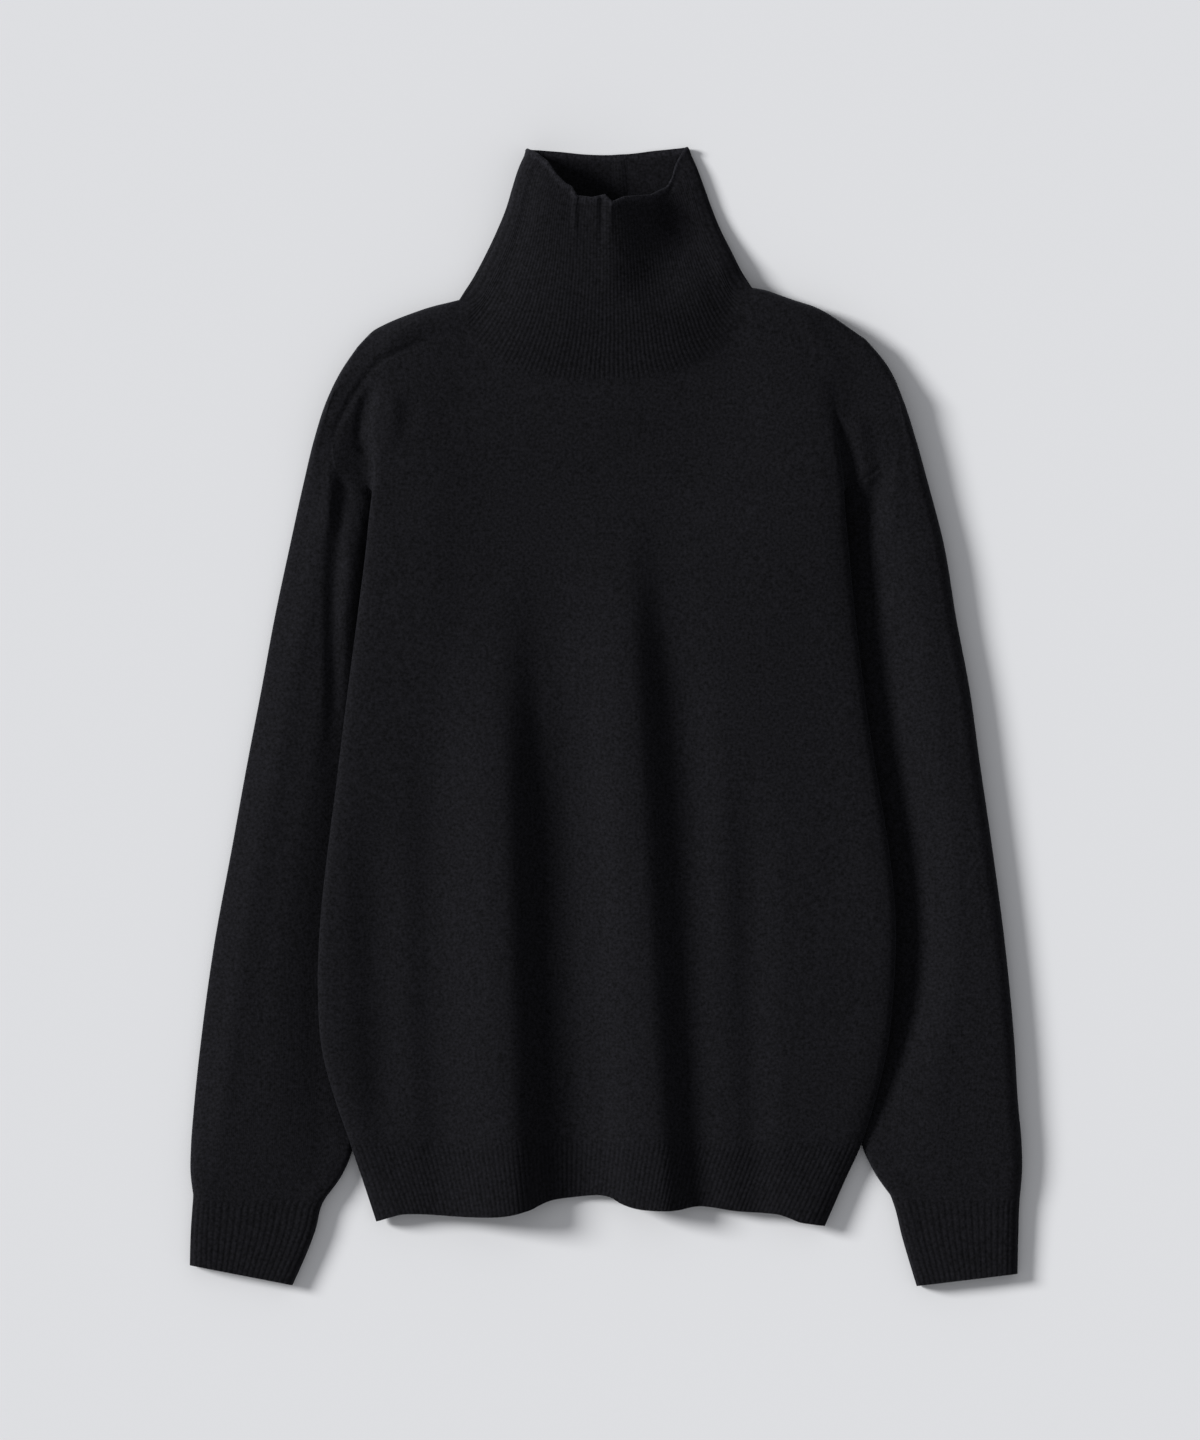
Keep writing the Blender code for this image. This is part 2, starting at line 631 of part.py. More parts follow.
def build_solid(sheet, normals, group_normals, collection):
    """The sheet's wall.  Where sleeve and body meet in a sharp valley, each keeps its own group's normal."""
    border, shifts = border_shifts(sheet)
    mesh = bpy.data.meshes.new(sheet.name)
    bm = bmesh.new()
    way_out = bm.verts.layers.float_vector.new("way_out")
    outer, inner = [], []
    for i, point in enumerate(sheet.points):
        normal = normals[place_key(point)]
        group_normal = group_normals[place_key(point)]
        if normal.dot(group_normal) < 0.85:
            normal = group_normal
        place = point + shifts.get(i, Vector((0, 0, 0)))
        place.z = max(place.z, 0.0)
        outer.append(bm.verts.new(place * MM))
        inner.append(bm.verts.new((place - normal * WALL) * MM))
        outer[-1][way_out] = normal
    for quad in sheet.quads:
        bm.faces.new([outer[i] for i in quad])
        bm.faces.new([inner[i] for i in reversed(quad)])
    for a, b in border:
        bm.faces.new([outer[b], outer[a], inner[a], inner[b]])
    raise_ribs(bm, sheet, outer, way_out)
    bmesh.ops.triangulate(bm, faces=bm.faces[:], quad_method="SHORT_EDGE", ngon_method="BEAUTY")
    bm.to_mesh(mesh)
    bm.free()
    part = bpy.data.objects.new(sheet.name, mesh)
    collection.objects.link(part)
    return part


def raise_ribs(bm, sheet, outer, way_out):
    """Cuts each ribbed edge across its ribs and lifts every other new point out of the wall."""
    groups = defaultdict(list)
    for (a, b), (strength, ribs) in sheet.ribbed.items():
        edge = bm.edges.get((outer[a], outer[b]))
        groups[ribs].append((edge, outer[a].co.copy(), outer[b].co.copy(), strength))
    lifts = []
    for ribs, entries in groups.items():
        bmesh.ops.subdivide_edges(bm, edges=[entry[0] for entry in entries], cuts=2 * ribs - 1, use_grid_fill=True)
        lifts.append((ribs, entries))
    by_place = {tuple(round(value, 8) for value in vertex.co): vertex for vertex in bm.verts}
    for ribs, entries in lifts:
        for edge, start, end, strength in entries:
            for step in range(1, 2 * ribs, 2):
                place = start.lerp(end, step / (2 * ribs))
                vertex = nearest(by_place, place)
                vertex.co += vertex[way_out].normalized() * RIB_RISE * strength * MM


def nearest(by_place, place):
    key = tuple(round(value, 8) for value in place)
    if key in by_place:
        return by_place[key]
    return min(by_place.values(), key=lambda vertex: (vertex.co - place).length_squared)


def yarn_material(name):
    material = bpy.data.materials.new(name)
    material.use_nodes = True
    shader = material.node_tree.nodes["Principled BSDF"]
    shader.inputs["Base Color"].default_value = YARN
    shader.inputs["Roughness"].default_value = 0.95
    shader.inputs["Metallic"].default_value = 0.0
    return material


def ribs_for(row, columns):
    """How many ribs each column takes at the row where it is measured."""
    return {c: max(1, round((row[(c + 1) % len(row)] - row[c]).length / RIB_PITCH)) for c in columns}


def make_sheets():
    front = front_rows()
    side_count = len(side_section(-1, 0)) + SHOULDER_COLUMNS
    shoulders = {
        -1: shoulder_rows(-1, front[-1][:side_count]),
        1: shoulder_rows(1, front[-1][::-1][:side_count]),
    }
    back = back_rows(front, shoulders)

    front_sheet = Sheet("front", "body")
    front_sheet.add_net(front)

    back_sheet = Sheet("back", "body")
    back_sheet.add_net(back, turned=True)
    back_sheet.add_net(shoulders[-1])
    back_sheet.add_net(shoulders[1], turned=True)

    hem_front = Sheet("hem_rib_front", "body")
    hem = hem_rows(front[0])
    columns = ribs_for(hem[0], range(3, len(hem[0]) - 4))
    hem_front.add_net(hem, turned=True, rib_rows=(0, 1, 1, 1), rib_columns=columns)

    hem_back = Sheet("hem_rib_back", "body")
    lower = [back[0]]
    for row in hem[2:]:
        left = back_side(-1, row[0], row[0].y)
        right = back_side(1, row[-1], row[-1].y)
        lower.append(flat_row(left, right, len(back[0]), back[-1], 0))
    for i, point in enumerate(lower[-1]):
        arch = 1 - abs(2 * i / (len(lower[-1]) - 1) - 1) ** 3
        point.y += BACK_HEM_RISE * arch
    hem_back.add_net(lower)

    sheets = [front_sheet, back_sheet, hem_front, hem_back]
    for side, word in ((-1, "left"), (1, "right")):
        rings = [armhole(side, front, shoulders[side], back)]
        rings += [tube_ring(side, ring) for ring in SLEEVE_RINGS[side]]
        sleeve = Sheet("sleeve_" + word, word)
        sleeve.add_net(rings, turned=side > 0, closed=True)
        cuff_rings = [rings[-1]] + [tube_ring(side, ring) for ring in CUFF_RINGS[side]]
        cuff = Sheet("cuff_" + word, word)
        columns = ribs_for(cuff_rings[-1], range(1, len(ARM_STEPS)))
        cuff.add_net(cuff_rings, turned=side > 0, closed=True, rib_rows=(0, 1, 1, 1), rib_columns=columns)
        sheets += [sleeve, cuff]

    base = collar_base(front, shoulders, back)
    back_count = len(base) - (NECK_COLUMNS + 1) - 2 * len(ROUNDED_EDGE)
    collar_rings = [base] + [collar_ring(ring, NECK_COLUMNS + 1, back_count) for ring in COLLAR_RINGS]
    collar = Sheet("neck_collar", "body")
    columns = ribs_for(base, range(NECK_COLUMNS))
    collar.add_net(collar_rings, closed=True, rib_rows=(0,) + (1,) * len(COLLAR_RINGS), rib_columns=columns)
    sheets.append(collar)
    return sheets


def main():
    for item in list(bpy.data.objects):
        bpy.data.objects.remove(item, do_unlink=True)
    collection = bpy.data.collections.new("turtleneck_sweater")
    bpy.context.scene.collection.children.link(collection)
    sheets = make_sheets()
    normals = shared_normals(sheets)
    group_normals = {group: shared_normals([sheet for sheet in sheets if sheet.group == group])
                     for group in {sheet.group for sheet in sheets}}
    for sheet in sheets:
        part = build_solid(sheet, normals, group_normals[sheet.group], collection)
        part.data.materials.append(yarn_material("yarn_" + sheet.name))
        print(sheet.name, len(part.data.polygons), "triangles")


main()
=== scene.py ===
import math
import bmesh
import bpy
import numpy as np
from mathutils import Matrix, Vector


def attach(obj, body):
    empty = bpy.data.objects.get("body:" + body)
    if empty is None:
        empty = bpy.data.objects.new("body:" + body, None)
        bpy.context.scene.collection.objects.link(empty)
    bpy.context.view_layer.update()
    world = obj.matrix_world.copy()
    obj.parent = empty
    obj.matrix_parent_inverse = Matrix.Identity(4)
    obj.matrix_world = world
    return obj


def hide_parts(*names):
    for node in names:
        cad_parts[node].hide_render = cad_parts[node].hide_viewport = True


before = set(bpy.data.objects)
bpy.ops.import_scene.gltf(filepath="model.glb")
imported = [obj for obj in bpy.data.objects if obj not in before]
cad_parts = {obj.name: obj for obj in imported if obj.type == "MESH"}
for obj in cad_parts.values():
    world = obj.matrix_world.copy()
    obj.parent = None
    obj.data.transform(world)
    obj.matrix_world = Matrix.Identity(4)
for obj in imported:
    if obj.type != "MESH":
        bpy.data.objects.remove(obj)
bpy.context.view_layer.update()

millimetre = 0.001          # lengths are in millimetres where nothing else is said
cloth = {
    "wall": 1.5,            # thickness that shows at the edges
    "spacing": 2.6,         # between the points of the plain knit
    "rowSpacing": 3.1,
    "shoulderRowSpacing": 1.6,
    "sleeveRowSpacing": 3.2,
    "backSpacing": 5.0,
    "edgeStep": 0.35,       # to an extra row beside the first and the last
    "weld": 0.02,           # points nearer than this become one
    "slack": 0.01,          # with which the points of an edge are picked
    "facing": (0.1, 0.4),   # slope from which cloth faces up, and how soon it does in full
    "allowance": 1.0,       # how far a seam's allowance runs on below the neighbour, and how deep
    "tuck": 1.2,
}
rib = {
    "pitch": 3.6,           # from one raised rib to the next
    "rise": 0.5,
    "hemRise": 0.3,
    "collarRise": 0.42,
    "sharpness": 2.2,       # how narrow the grooves between the ribs are
    "pointsPerRib": 6,
    "rowSpacing": 3.4,
    "collarStep": 1.3,      # the collar's points lie this much further apart
    "collarRowSpacing": 3.0,
    "hemBackSpacing": (1.2, 4.0),
    "begin": {"hem": 10, "cuff": 8, "collar": 10},      # distance over which the ribs rise out of a seam
    "rimFade": 0.75,        # how much of the rise is gone at the collar's rim
}
# how far the cloth beside a seam follows its neighbour's edge
seamReach = {"shoulder": 8, "sleeve": 25, "collar": 12, "cuff": 10}


def ease(share):
    share = np.clip(share, 0, 1)
    return share * share * (3 - 2 * share)


def mix(first, second, share):
    return first + (second - first) * share


# a row between a table's rows, on a smooth curve through each column
def readTable(table, key):
    rows = sorted(table)
    key = min(max(key, rows[0][0]), rows[-1][0])
    place = max(i for i in range(len(rows) - 1) if rows[i][0] <= key)
    low, high = rows[place], rows[place + 1]
    before, after = rows[max(place - 1, 0)], rows[min(place + 2, len(rows) - 1)]
    step = high[0] - low[0]
    t = (key - low[0]) / step
    values = []
    for a, b, c, d in zip(before, low, high, after):
        leaving = (c - a) / (high[0] - before[0]) * step
        arriving = (d - b) / (after[0] - low[0]) * step
        values.append(b + t * (leaving + t * (3 * (c - b) - 2 * leaving - arriving
                                              + t * (2 * (b - c) + leaving + arriving))))
    return values


def bezier(a, b, c, d, t):
    s = 1 - t
    return a * s ** 3 + b * 3 * s * s * t + c * 3 * s * t * t + d * t ** 3


# the same line with its points at equal steps
def spread(points, count):
    lengths = [0.0]
    for a, b in zip(points, points[1:]):
        lengths.append(lengths[-1] + (b - a).length)
    result = []
    place = 0
    for i in range(count):
        target = lengths[-1] * i / (count - 1)
        while place < len(points) - 2 and lengths[place + 1] < target:
            place += 1
        share = (target - lengths[place]) / (lengths[place + 1] - lengths[place])
        result.append(points[place].lerp(points[place + 1], share))
    return result


body = {
    "underarmY": 157,
    "ribTopY": -289,
    "shoulderY": {-1: 240, 1: 235},
    "crestInset": 18,
    # the rolled side's curves: leads at seam, nose and crest, and places
    "sideCurve": {"seam": 0.4, "nose": 0.6, "crest": 8, "under": (0, 0.3, 0.6, 0.85), "over": (0, 0.3, 0.6, 1)},
    "shoulderColumns": 3,
    "neckColumns": 34,
    "levels": [-289, -266, -232, -190, -145, -98, -50, 0, 50, 89, 118, 138, 148],
    "armSteps": [0, 0.085, 0.17, 0.28, 0.42, 0.57, 0.72, 0.87, 1],
    # y, left and right edge from the middle, how far the seam lies outside each
    "edges": [
        (-352, 159, 151, -1.5, -1.5), (-343, 160.5, 155, -1.8, -1.8), (-329, 166, 162, -2.5, -2.5),
        (-315, 171, 168, -4, -4), (-299, 176.5, 176, -8, -8), (-289, 180, 180, -12, -12),
        (-266, 188, 187, -18, -18), (-232, 197, 195, -20, -20), (-183, 200, 200, -20, -20),
        (-127, 197, 200.5, -20, -20), (-62, 189, 191.5, -20, -20), (-20, 184, 184.5, -20, -20),
        (27, 178, 178, -20, -20), (89, 170, 171, -19, -19), (122, 166, 168, -14, -14),
        (138, 164.5, 166.5, -8, -8), (157, 162, 165, 1, 1), (164, 161, 164, 10, 12),
        (171, 160.5, 163, 20, 27), (180, 161.5, 161.5, 27.5, 33.5), (194, 167, 159, 21, 35.5),
        (211, 164, 158, 17.5, 30), (226, 160, 157.5, 13.5, 22), (241, 157, 158, 6, 10),
    ],
    # y, height of the crest, of the edge's nose and of the seam, drop below the nose, lift at the seam
    "sides": [
        (-352, 13, 6.5, 3.6, 1.5, 1.0), (-315, 15, 8, 4, 2, 1), (-289, 20, 12, 4.5, 3.5, 1.2),
        (-232, 25, 18, 6, 5, 2.2), (100, 26, 19, 6, 5, 2.2), (138, 25, 19.5, 7, 6, 1.5),
        (157, 24, 20, 8, 7, 0.8), (164, 24, 20, 11.5, 11, -1.5), (180, 23, 20, 15, 13, -1.5),
        (211, 20.5, 18.5, 16, 5, -0.5), (241, 18, 17, 16.5, 0.6, 0),
    ],
    "middle": [(-352, 11), (-289, 14), (-200, 18), (0, 18.5), (150, 18), (280, 17.5)],
    "sideFall": {-1: 34, 1: 60},
    "foldMargin": 25,
    "neckRise": {"height": 5, "width": 75, "begin": 150, "full": 230},
    "neckDepth": 64,
    "neckCurve": 2.3,
    "neckHalf": 100,
    "hemLevels": (0.07, 0.5, 1),
    # y where it begins and is full, x there and at the hem, height, widths of its left and right flank
    "folds": [
        (125, -80, -77, -65, 12.5, 58, 30), (165, 10, 10, 39, 10.0, 52, 26), (0, -190, 70, 75, 1.6, 20, 32),
    ],
    "hemEdge": [
        (-159, -350.5), (-139, -345.5), (-92, -347.6), (-69, -346.9), (-51, -342), (-41, -336.8),
        (-24, -333.8), (0, -332.6), (9, -337.5), (22, -342), (46, -343.2), (65, -340), (90, -343.3),
        (121, -346), (134, -351), (151, -353.6),
    ],
    "shoulderSeam": {
        -1: [(98.6, 266), (118, 263.5), (131, 258.5), (150, 249.5), (163, 240)],
        1: [(98.6, 276), (128, 269), (150, 256.5), (168, 235)],
    },
    "shoulderOutline": {
        -1: [(102, 289.2), (128, 282.3), (160.5, 268.5), (172.5, 256.6)],
        1: [(101.4, 297.6), (110.5, 296), (130, 289.2), (149.5, 282.3), (180, 262)],
    },
    # share of the height, inset and height of the back's armhole
    "backArm": [(0, 0, 8), (0.08, 0, 3.2), (0.2, 2, 0), (0.4, 8, 0), (0.6, 6, 0), (0.8, 3, 0), (1, 0, 0)],
    "backArmEdge": {"places": (0, 0.3, 0.65, 1), "height": 0.4},
    "backNeck": {"columns": 6, "dip": 5},
    # the back's edge below a seam: slope, greatest inset, then shares of the inset and of the seam's height
    "backEdge": (1.6, 11, ((0, 1), (0.25, 0.5), (0.6, 0.14), (1, 0))),
    "backHemRise": 22,
    "backHemCurve": 3,
}
roundedEdge = [(6.5, 0.95), (1.9, 0.76), (0, 0.46), (1.9, 0.15), (7, 0)]     # inset, share of the height


def sideSection(side, y):
    left, right, leftReach, rightReach = readTable(body["edges"], y)[1:]
    crestZ, noseZ, seamZ, drop, lift = readTable(body["sides"], y)[1:]
    half, reach = (left, leftReach) if side < 0 else (right, rightReach)
    seam = Vector((half + reach, seamZ))
    nose = Vector((half, noseZ))
    crest = Vector((half - body["crestInset"], crestZ))
    curve = body["sideCurve"]
    lead = seam + Vector((-curve["seam"] * reach, lift))
    below = nose - Vector((0, drop))
    above = nose + Vector((0, curve["nose"] * (crestZ - noseZ)))
    before = crest + Vector((curve["crest"], 0))
    under = [bezier(seam, lead, below, nose, t) for t in curve["under"]]
    over = [bezier(nose, above, before, crest, t) for t in curve["over"]]
    return under + over


def foldHeight(x, y):
    total = np.zeros_like(x)
    hemY = body["hemEdge"][0][1]
    for beginY, fullY, beginX, hemX, height, left, right in body["folds"]:
        grown = ease((beginY - y) / (beginY - fullY))
        offset = x - (beginX + (hemX - beginX) * (beginY - y) / (beginY - hemY))
        share = np.clip(np.abs(offset) / np.where(offset < 0, left, right), 0, 1)
        total += height * grown * np.cos(share * math.pi / 2) ** 2
    return total


def topHeight(x, y, leftCrest, rightCrest):
    middle = readTable(body["middle"], y)[1]
    height = middle
    for side, crest in ((-1, leftCrest), (1, rightCrest)):
        height += (crest[1] - middle) * math.exp(-((crest[0] - side * x) / body["sideFall"][side]) ** 2)
    rise = body["neckRise"]
    grown = ease((y - rise["begin"]) / (rise["full"] - rise["begin"]))
    return height + rise["height"] * math.exp(-(x / rise["width"]) ** 2) * grown


def necklineY(x, straight, depth, left, right):
    centre = (right - left) / 2
    share = min(abs(x - centre) / ((left + right) / 2), 1)
    even = (1 - share ** body["neckCurve"]) ** (1 / body["neckCurve"])
    start, length = collar["rimBend"][-1 if x < centre else 1]
    sharp = 1 - ease((share - start) / length)
    return depth * mix(even, sharp, straight)


def neckline():
    left, right = body["shoulderOutline"][-1][0], body["shoulderOutline"][1][0]
    first, last = body["shoulderSeam"][-1][0], body["shoulderSeam"][1][0]
    points = []
    steps = 200
    for i in range(steps + 1):
        x = mix(-first[0], last[0], i / steps)
        tilt = mix(left[1], right[1], (x + left[0]) / (left[0] + right[0]))
        points.append(Vector((x, tilt - necklineY(x, 0, body["neckDepth"], left[0], right[0]))))
    points[0].y = first[1]
    points[-1].y = last[1]
    return spread(points, body["neckColumns"] + 1)


def frontTop():
    sides = {}
    for side in (-1, 1):
        xs = [point.x for point in sideSection(side, body["shoulderY"][side])]
        inner = body["shoulderSeam"][side][0][0]
        count = body["shoulderColumns"]
        xs += [mix(xs[-1], inner, i / count) for i in range(1, count)]
        sides[side] = [Vector((side * x, readTable(body["shoulderSeam"][side], x)[1])) for x in xs]
    return sides[-1] + neckline() + sides[1][::-1]


def frontRow(leftY, rightY, rise, top):
    left, right = sideSection(-1, leftY), sideSection(1, rightY)
    count = len(top)
    inner = count - len(left) - len(right)
    row = []
    for i in range(count):
        y = mix(leftY, rightY, i / (count - 1))
        if rise > 0:
            y = mix(body["underarmY"], top[i].y, rise)
        if i < len(left):
            row.append(Vector((-left[i].x, y, left[i].y)))
        elif i >= count - len(right):
            point = right[count - 1 - i]
            row.append(Vector((point.x, y, point.y)))
        else:
            x = mix(-left[-1].x, right[-1].x, (i - len(left) + 1) / (inner + 1))
            x = mix(x, top[i].x, rise * rise)
            row.append(Vector((x, y, topHeight(x, y, left[-1], right[-1]))))
    return row


def frontRows():
    top = frontTop()
    rows = [frontRow(y, y, 0, top) for y in body["levels"]]
    for step in body["armSteps"]:
        leftY, rightY = [mix(body["underarmY"], body["shoulderY"][side], step) for side in (-1, 1)]
        rows.append(frontRow(leftY, rightY, step, top))
    return rows


def hemRows(firstRow):
    top = frontTop()
    rows = [firstRow]
    for share in body["hemLevels"]:
        level = mix(body["ribTopY"], body["hemEdge"][0][1], share)
        row = frontRow(level, level, 0, top)
        for point in row:
            point.y = mix(body["ribTopY"], readTable(body["hemEdge"], point.x)[1], share)
        rows.append(row)
    return rows


# the back's cloth from the forward shoulder seam over the shoulder to the surface below
def shoulderRows(side, seamPoints):
    outline = body["shoulderOutline"][side]
    steps = 60
    fine = [readTable(outline, mix(outline[0][0], outline[-1][0], i / steps)) for i in range(steps + 1)]
    edge = spread([Vector((side * x, y)) for x, y in fine][::-1], len(seamPoints))
    rows = [list(seamPoints)]
    for inset, share in roundedEdge:
        row = []
        for seam, rim in zip(seamPoints, edge):
            place = rim + (seam.to_2d() - rim).normalized() * inset
            row.append(Vector((place.x, place.y, seam.z * share)))
        rows.append(row)
    return rows


def backSide(side, seam):
    slope, most, shares = body["backEdge"]
    fall = min(seam.z * slope, most)
    return [Vector((seam.x - side * fall * inset, seam.y, seam.z * share)) for inset, share in shares]


def flatRow(left, right, count, top, rise):
    inner = count - len(left) - len(right)
    row = list(left)
    for i in range(1, inner + 1):
        x = mix(left[-1].x, right[-1].x, i / (inner + 1))
        y = mix(left[-1].y, right[-1].y, i / (inner + 1))
        if rise > 0:
            place = top[len(left) + i - 1]
            x = mix(x, place.x, rise * rise)
            y = mix(body["underarmY"], place.y, rise)
        row.append(Vector((x, y, 0)))
    return row + right[::-1]


def backRows(front, shoulders):
    neck, armEdge = body["backNeck"], body["backArmEdge"]
    top = list(shoulders[-1][-1])
    first, last = shoulders[-1][-1][-1], shoulders[1][-1][-1]
    for i in range(1, neck["columns"]):
        share = i / neck["columns"]
        dip = neck["dip"] * math.sin(math.pi * share)
        top.append(Vector((mix(first.x, last.x, share), mix(first.y, last.y, share) - dip, 0)))
    top += shoulders[1][-1][::-1]
    rows = []
    for row in front[:len(body["levels"]) + 1]:
        rows.append(flatRow(backSide(-1, row[0]), backSide(1, row[-1]), len(top), top, 0))
    underarm = rows[-1]
    for step in body["armSteps"][1:-1]:
        sides = {}
        for side in (-1, 1):
            inset, height = readTable(body["backArm"], step)[1:]
            edge, foot = (0, 3) if side < 0 else (-1, -4)
            low, inner, high, goal = underarm[edge], underarm[foot], top[edge], top[foot]
            place = low.lerp(high, step)
            seam = Vector((place.x + side * inset, place.y, max(height, 0)))
            sides[side] = [seam.lerp(inner.lerp(goal, step), share) for share in armEdge["places"]]
            for point in sides[side][1:]:
                point.z *= armEdge["height"]
            sides[side][-1].z = 0
        rows.append(flatRow(sides[-1], sides[1], len(top), top, step))
    rows.append(top)
    return rows


sleeves = {
    "rise": 0.5,            # share of the width over which the tube rises from its inner edge
    "skew": 0.5,            # a bow is fullest towards the inner edge where a ring's slide is below 1
    "lip": {"width": 2.2, "drop": 0.1, "fade": 4},      # the inner edge, and how much lower it is
    "top": (6.5, 13),       # from the inner edge to the first point on top, from the outer edge to the last
    "underside": (7, 5.5),  # the same below, from the outer edge and from the inner one
    "foot": (1.9, 0.7),     # the last point: its distance from the inner edge, its height
    # inner and outer point of each ring of the flattened tube
    "rings": {
        -1: [
            (159.5, 141, 185, 238), (158, 127, 194.5, 218), (158, 112, 202.5, 193), (157, 90, 210, 162),
            (157.6, 62, 219.4, 119), (160.4, 28, 230, 69), (165.2, -10, 239.4, 18), (171, -52, 249, -32),
            (178.5, -105, 259.5, -90), (184, -166, 272, -158), (182.5, -226, 281, -223),
            (177.4, -270, 286, -270), (175.7, -299, 288.2, -299), (182, -316, 288.5, -316),
            (193, -332, 286.6, -332), (196, -336, 286.8, -336), (202, -356.5, 288.2, -356.5),
            (218, -394.8, 288.9, -381),
        ],
        1: [
            (163.5, 141, 197, 241), (162.5, 127, 207, 218), (162, 112, 215, 193), (160, 90, 223.6, 162),
            (160.5, 62, 234.7, 119), (163, 28, 243, 69), (168, -10, 252.6, 18), (174.5, -52, 259.5, -32),
            (182.5, -105, 268, -90), (184.5, -166, 277, -158), (181.5, -226, 283.3, -223),
            (177, -270, 286.2, -270), (177, -295, 288.5, -295), (185.5, -315, 288.9, -315),
            (197.2, -332, 287.5, -332), (199, -336, 287, -336), (206, -362, 286, -360),
            (216, -395.4, 285.4, -387),
        ],
    },
    # on both sides: bow towards the cuff, height, thickness of the inner edge, slide, which below 1 moves
    # the first rings' points outwards, square to the seam
    "forms": [
        (20, 15.5, 7, 0.6), (18, 15.5, 7, 0.65), (14, 15.5, 7, 0.86), (6, 15.5, 7, 0.94), (4, 15.5, 7, 1),
        (0, 15.5, 7, 1), (0, 15.5, 7, 1), (0, 15.5, 7, 1), (0, 15, 7, 1), (0, 14.5, 7, 1), (0, 14.5, 7, 1),
        (0, 14.5, 7, 1), (0, 14, 8, 1), (0, 13.2, 9.6, 1), (0, 12, 10.6, 1), (0, 11.7, 10.5, 1),
        (0, 10.9, 9.9, 1), (0, 10.3, 9.4, 1),
    ],
    "cuffRings": 3,         # how many of them, at the end, are the cuff's
}


def sleeveHeights(width, height, inner, slide):
    steps = len(body["armSteps"]) - 3
    lip, top, underside = sleeves["lip"], sleeves["top"], sleeves["underside"]
    ring = [(0.0, inner / 2)]
    for place in [lip["width"]] + [mix(top[0], width - top[1], i / steps) for i in range(steps + 1)]:
        across = width * (place / width) ** slide
        z = mix(inner, height, ease(across / width / sleeves["rise"]))
        ring.append((across, z * (1 - lip["drop"] * max(0, 1 - (across - lip["width"]) / lip["fade"]))))
    for inset, share in roundedEdge:
        ring.append((width - inset, height * share))
    for i in range(1, steps + 1):
        ring.append((mix(width - underside[0], underside[1], i / steps), 0.0))
    return ring + [sleeves["foot"]]


def tubeRing(side, innerX, innerY, outerX, outerY, bow, height, edge, slide):
    inner, outer = Vector((side * innerX, innerY)), Vector((side * outerX, outerY))
    along = (outer - inner).normalized()
    down = Vector((along.y, -along.x)) * side
    width = (outer - inner).length
    points = []
    for across, z in sleeveHeights(width, height, edge, slide):
        bulge = math.sin(math.pi * (across / width) ** mix(sleeves["skew"], 1, slide))
        place = inner + along * across + down * bow * bulge
        points.append(Vector((place.x, place.y, z)))
    return points


def armhole(side, front, shoulder, back):
    column = 0 if side < 0 else -1
    upper = [row[column] for row in front[len(body["levels"]):]]
    over = [row[0] for row in shoulder[1:]]
    lower = [row[column] for row in back[len(body["levels"]) + 1:-1]]
    return upper + over + lower[::-1]


collar = {
    # left x and y, right x and y, depth of front and back, height of the crest and of the sides, their width,
    # how straight the front runs, how round its right half is
    "rings": [
        (94.5, 300, 95.5, 306, 59, 8, 24.5, 15.5, 6, 0.1, 4),
        (83.5, 320, 87.2, 322, 53, 7.5, 29, 13.5, 9, 0.25, 3.2),
        (75.7, 336.5, 79, 338.5, 48.5, 6.7, 32, 12.5, 10.5, 0.45, 2.3),
        (69, 353, 72.6, 354.5, 43.5, 5.5, 35, 12, 11, 0.65, 1.6),
        (64.9, 367, 67.7, 368.4, 39, 5, 37, 12, 11, 0.85, 1.25),
        (60.4, 381, 62.5, 382.3, 36.5, 5, 38, 12, 11, 1, 1.15),
        (54.2, 394.2, 56.2, 395.5, 35.3, 5, 38, 12, 11, 1, 1.15),
    ],
    "evened": (3.0, 14),    # blur of its heights around, and how soon above the seam it is full
    "leftRound": 6,
    "corner": 0.35,         # how much of the front's drop the side takes up next to the shoulder
    "rimBend": {-1: (0.33, 0.62), 1: (0.52, 0.46)},
    "rimLine": [
        (-54.2, 394.1), (-47.2, 390.6), (-40.3, 385.1), (-34, 376), (-27.8, 369.8), (-23.6, 367.7),
        (-20.1, 361.5), (-9.7, 360.1), (-0.7, 362.2), (4.2, 357.3), (12.5, 360.8), (30.6, 362.2),
        (41.7, 367.7), (45.8, 373.3), (47.9, 381.6), (53.5, 392), (56.2, 395.5),
    ],
    "rimReach": 18,
    "clearOfFloor": 8,      # height from which the rim follows its line, and has its bead, in full
    # the bead's shade below 0 paints it lighter: a painted highlight along the rim
    "bead": {"width": 3.0, "height": 1.0, "rows": (0.3, 0.5, 0.65, 0.8, 0.92), "shade": -1.4},
    "innerCrease": ([(9.7, 396), (9.7, 352)], 0.9, 7, 0.3, 0.3, -1),
}


def collarBase(front, shoulders, back):
    sideCount = len(sideSection(-1, 0)) + body["shoulderColumns"] - 1
    across = front[-1][sideCount:-sideCount]
    right = [row[-1] for row in shoulders[1][1:]]
    left = [row[-1] for row in shoulders[-1][1:]]
    shoulderCount = len(shoulders[1][-1])
    behind = back[-1][shoulderCount:-shoulderCount]
    return across + right + behind[::-1] + left[::-1]


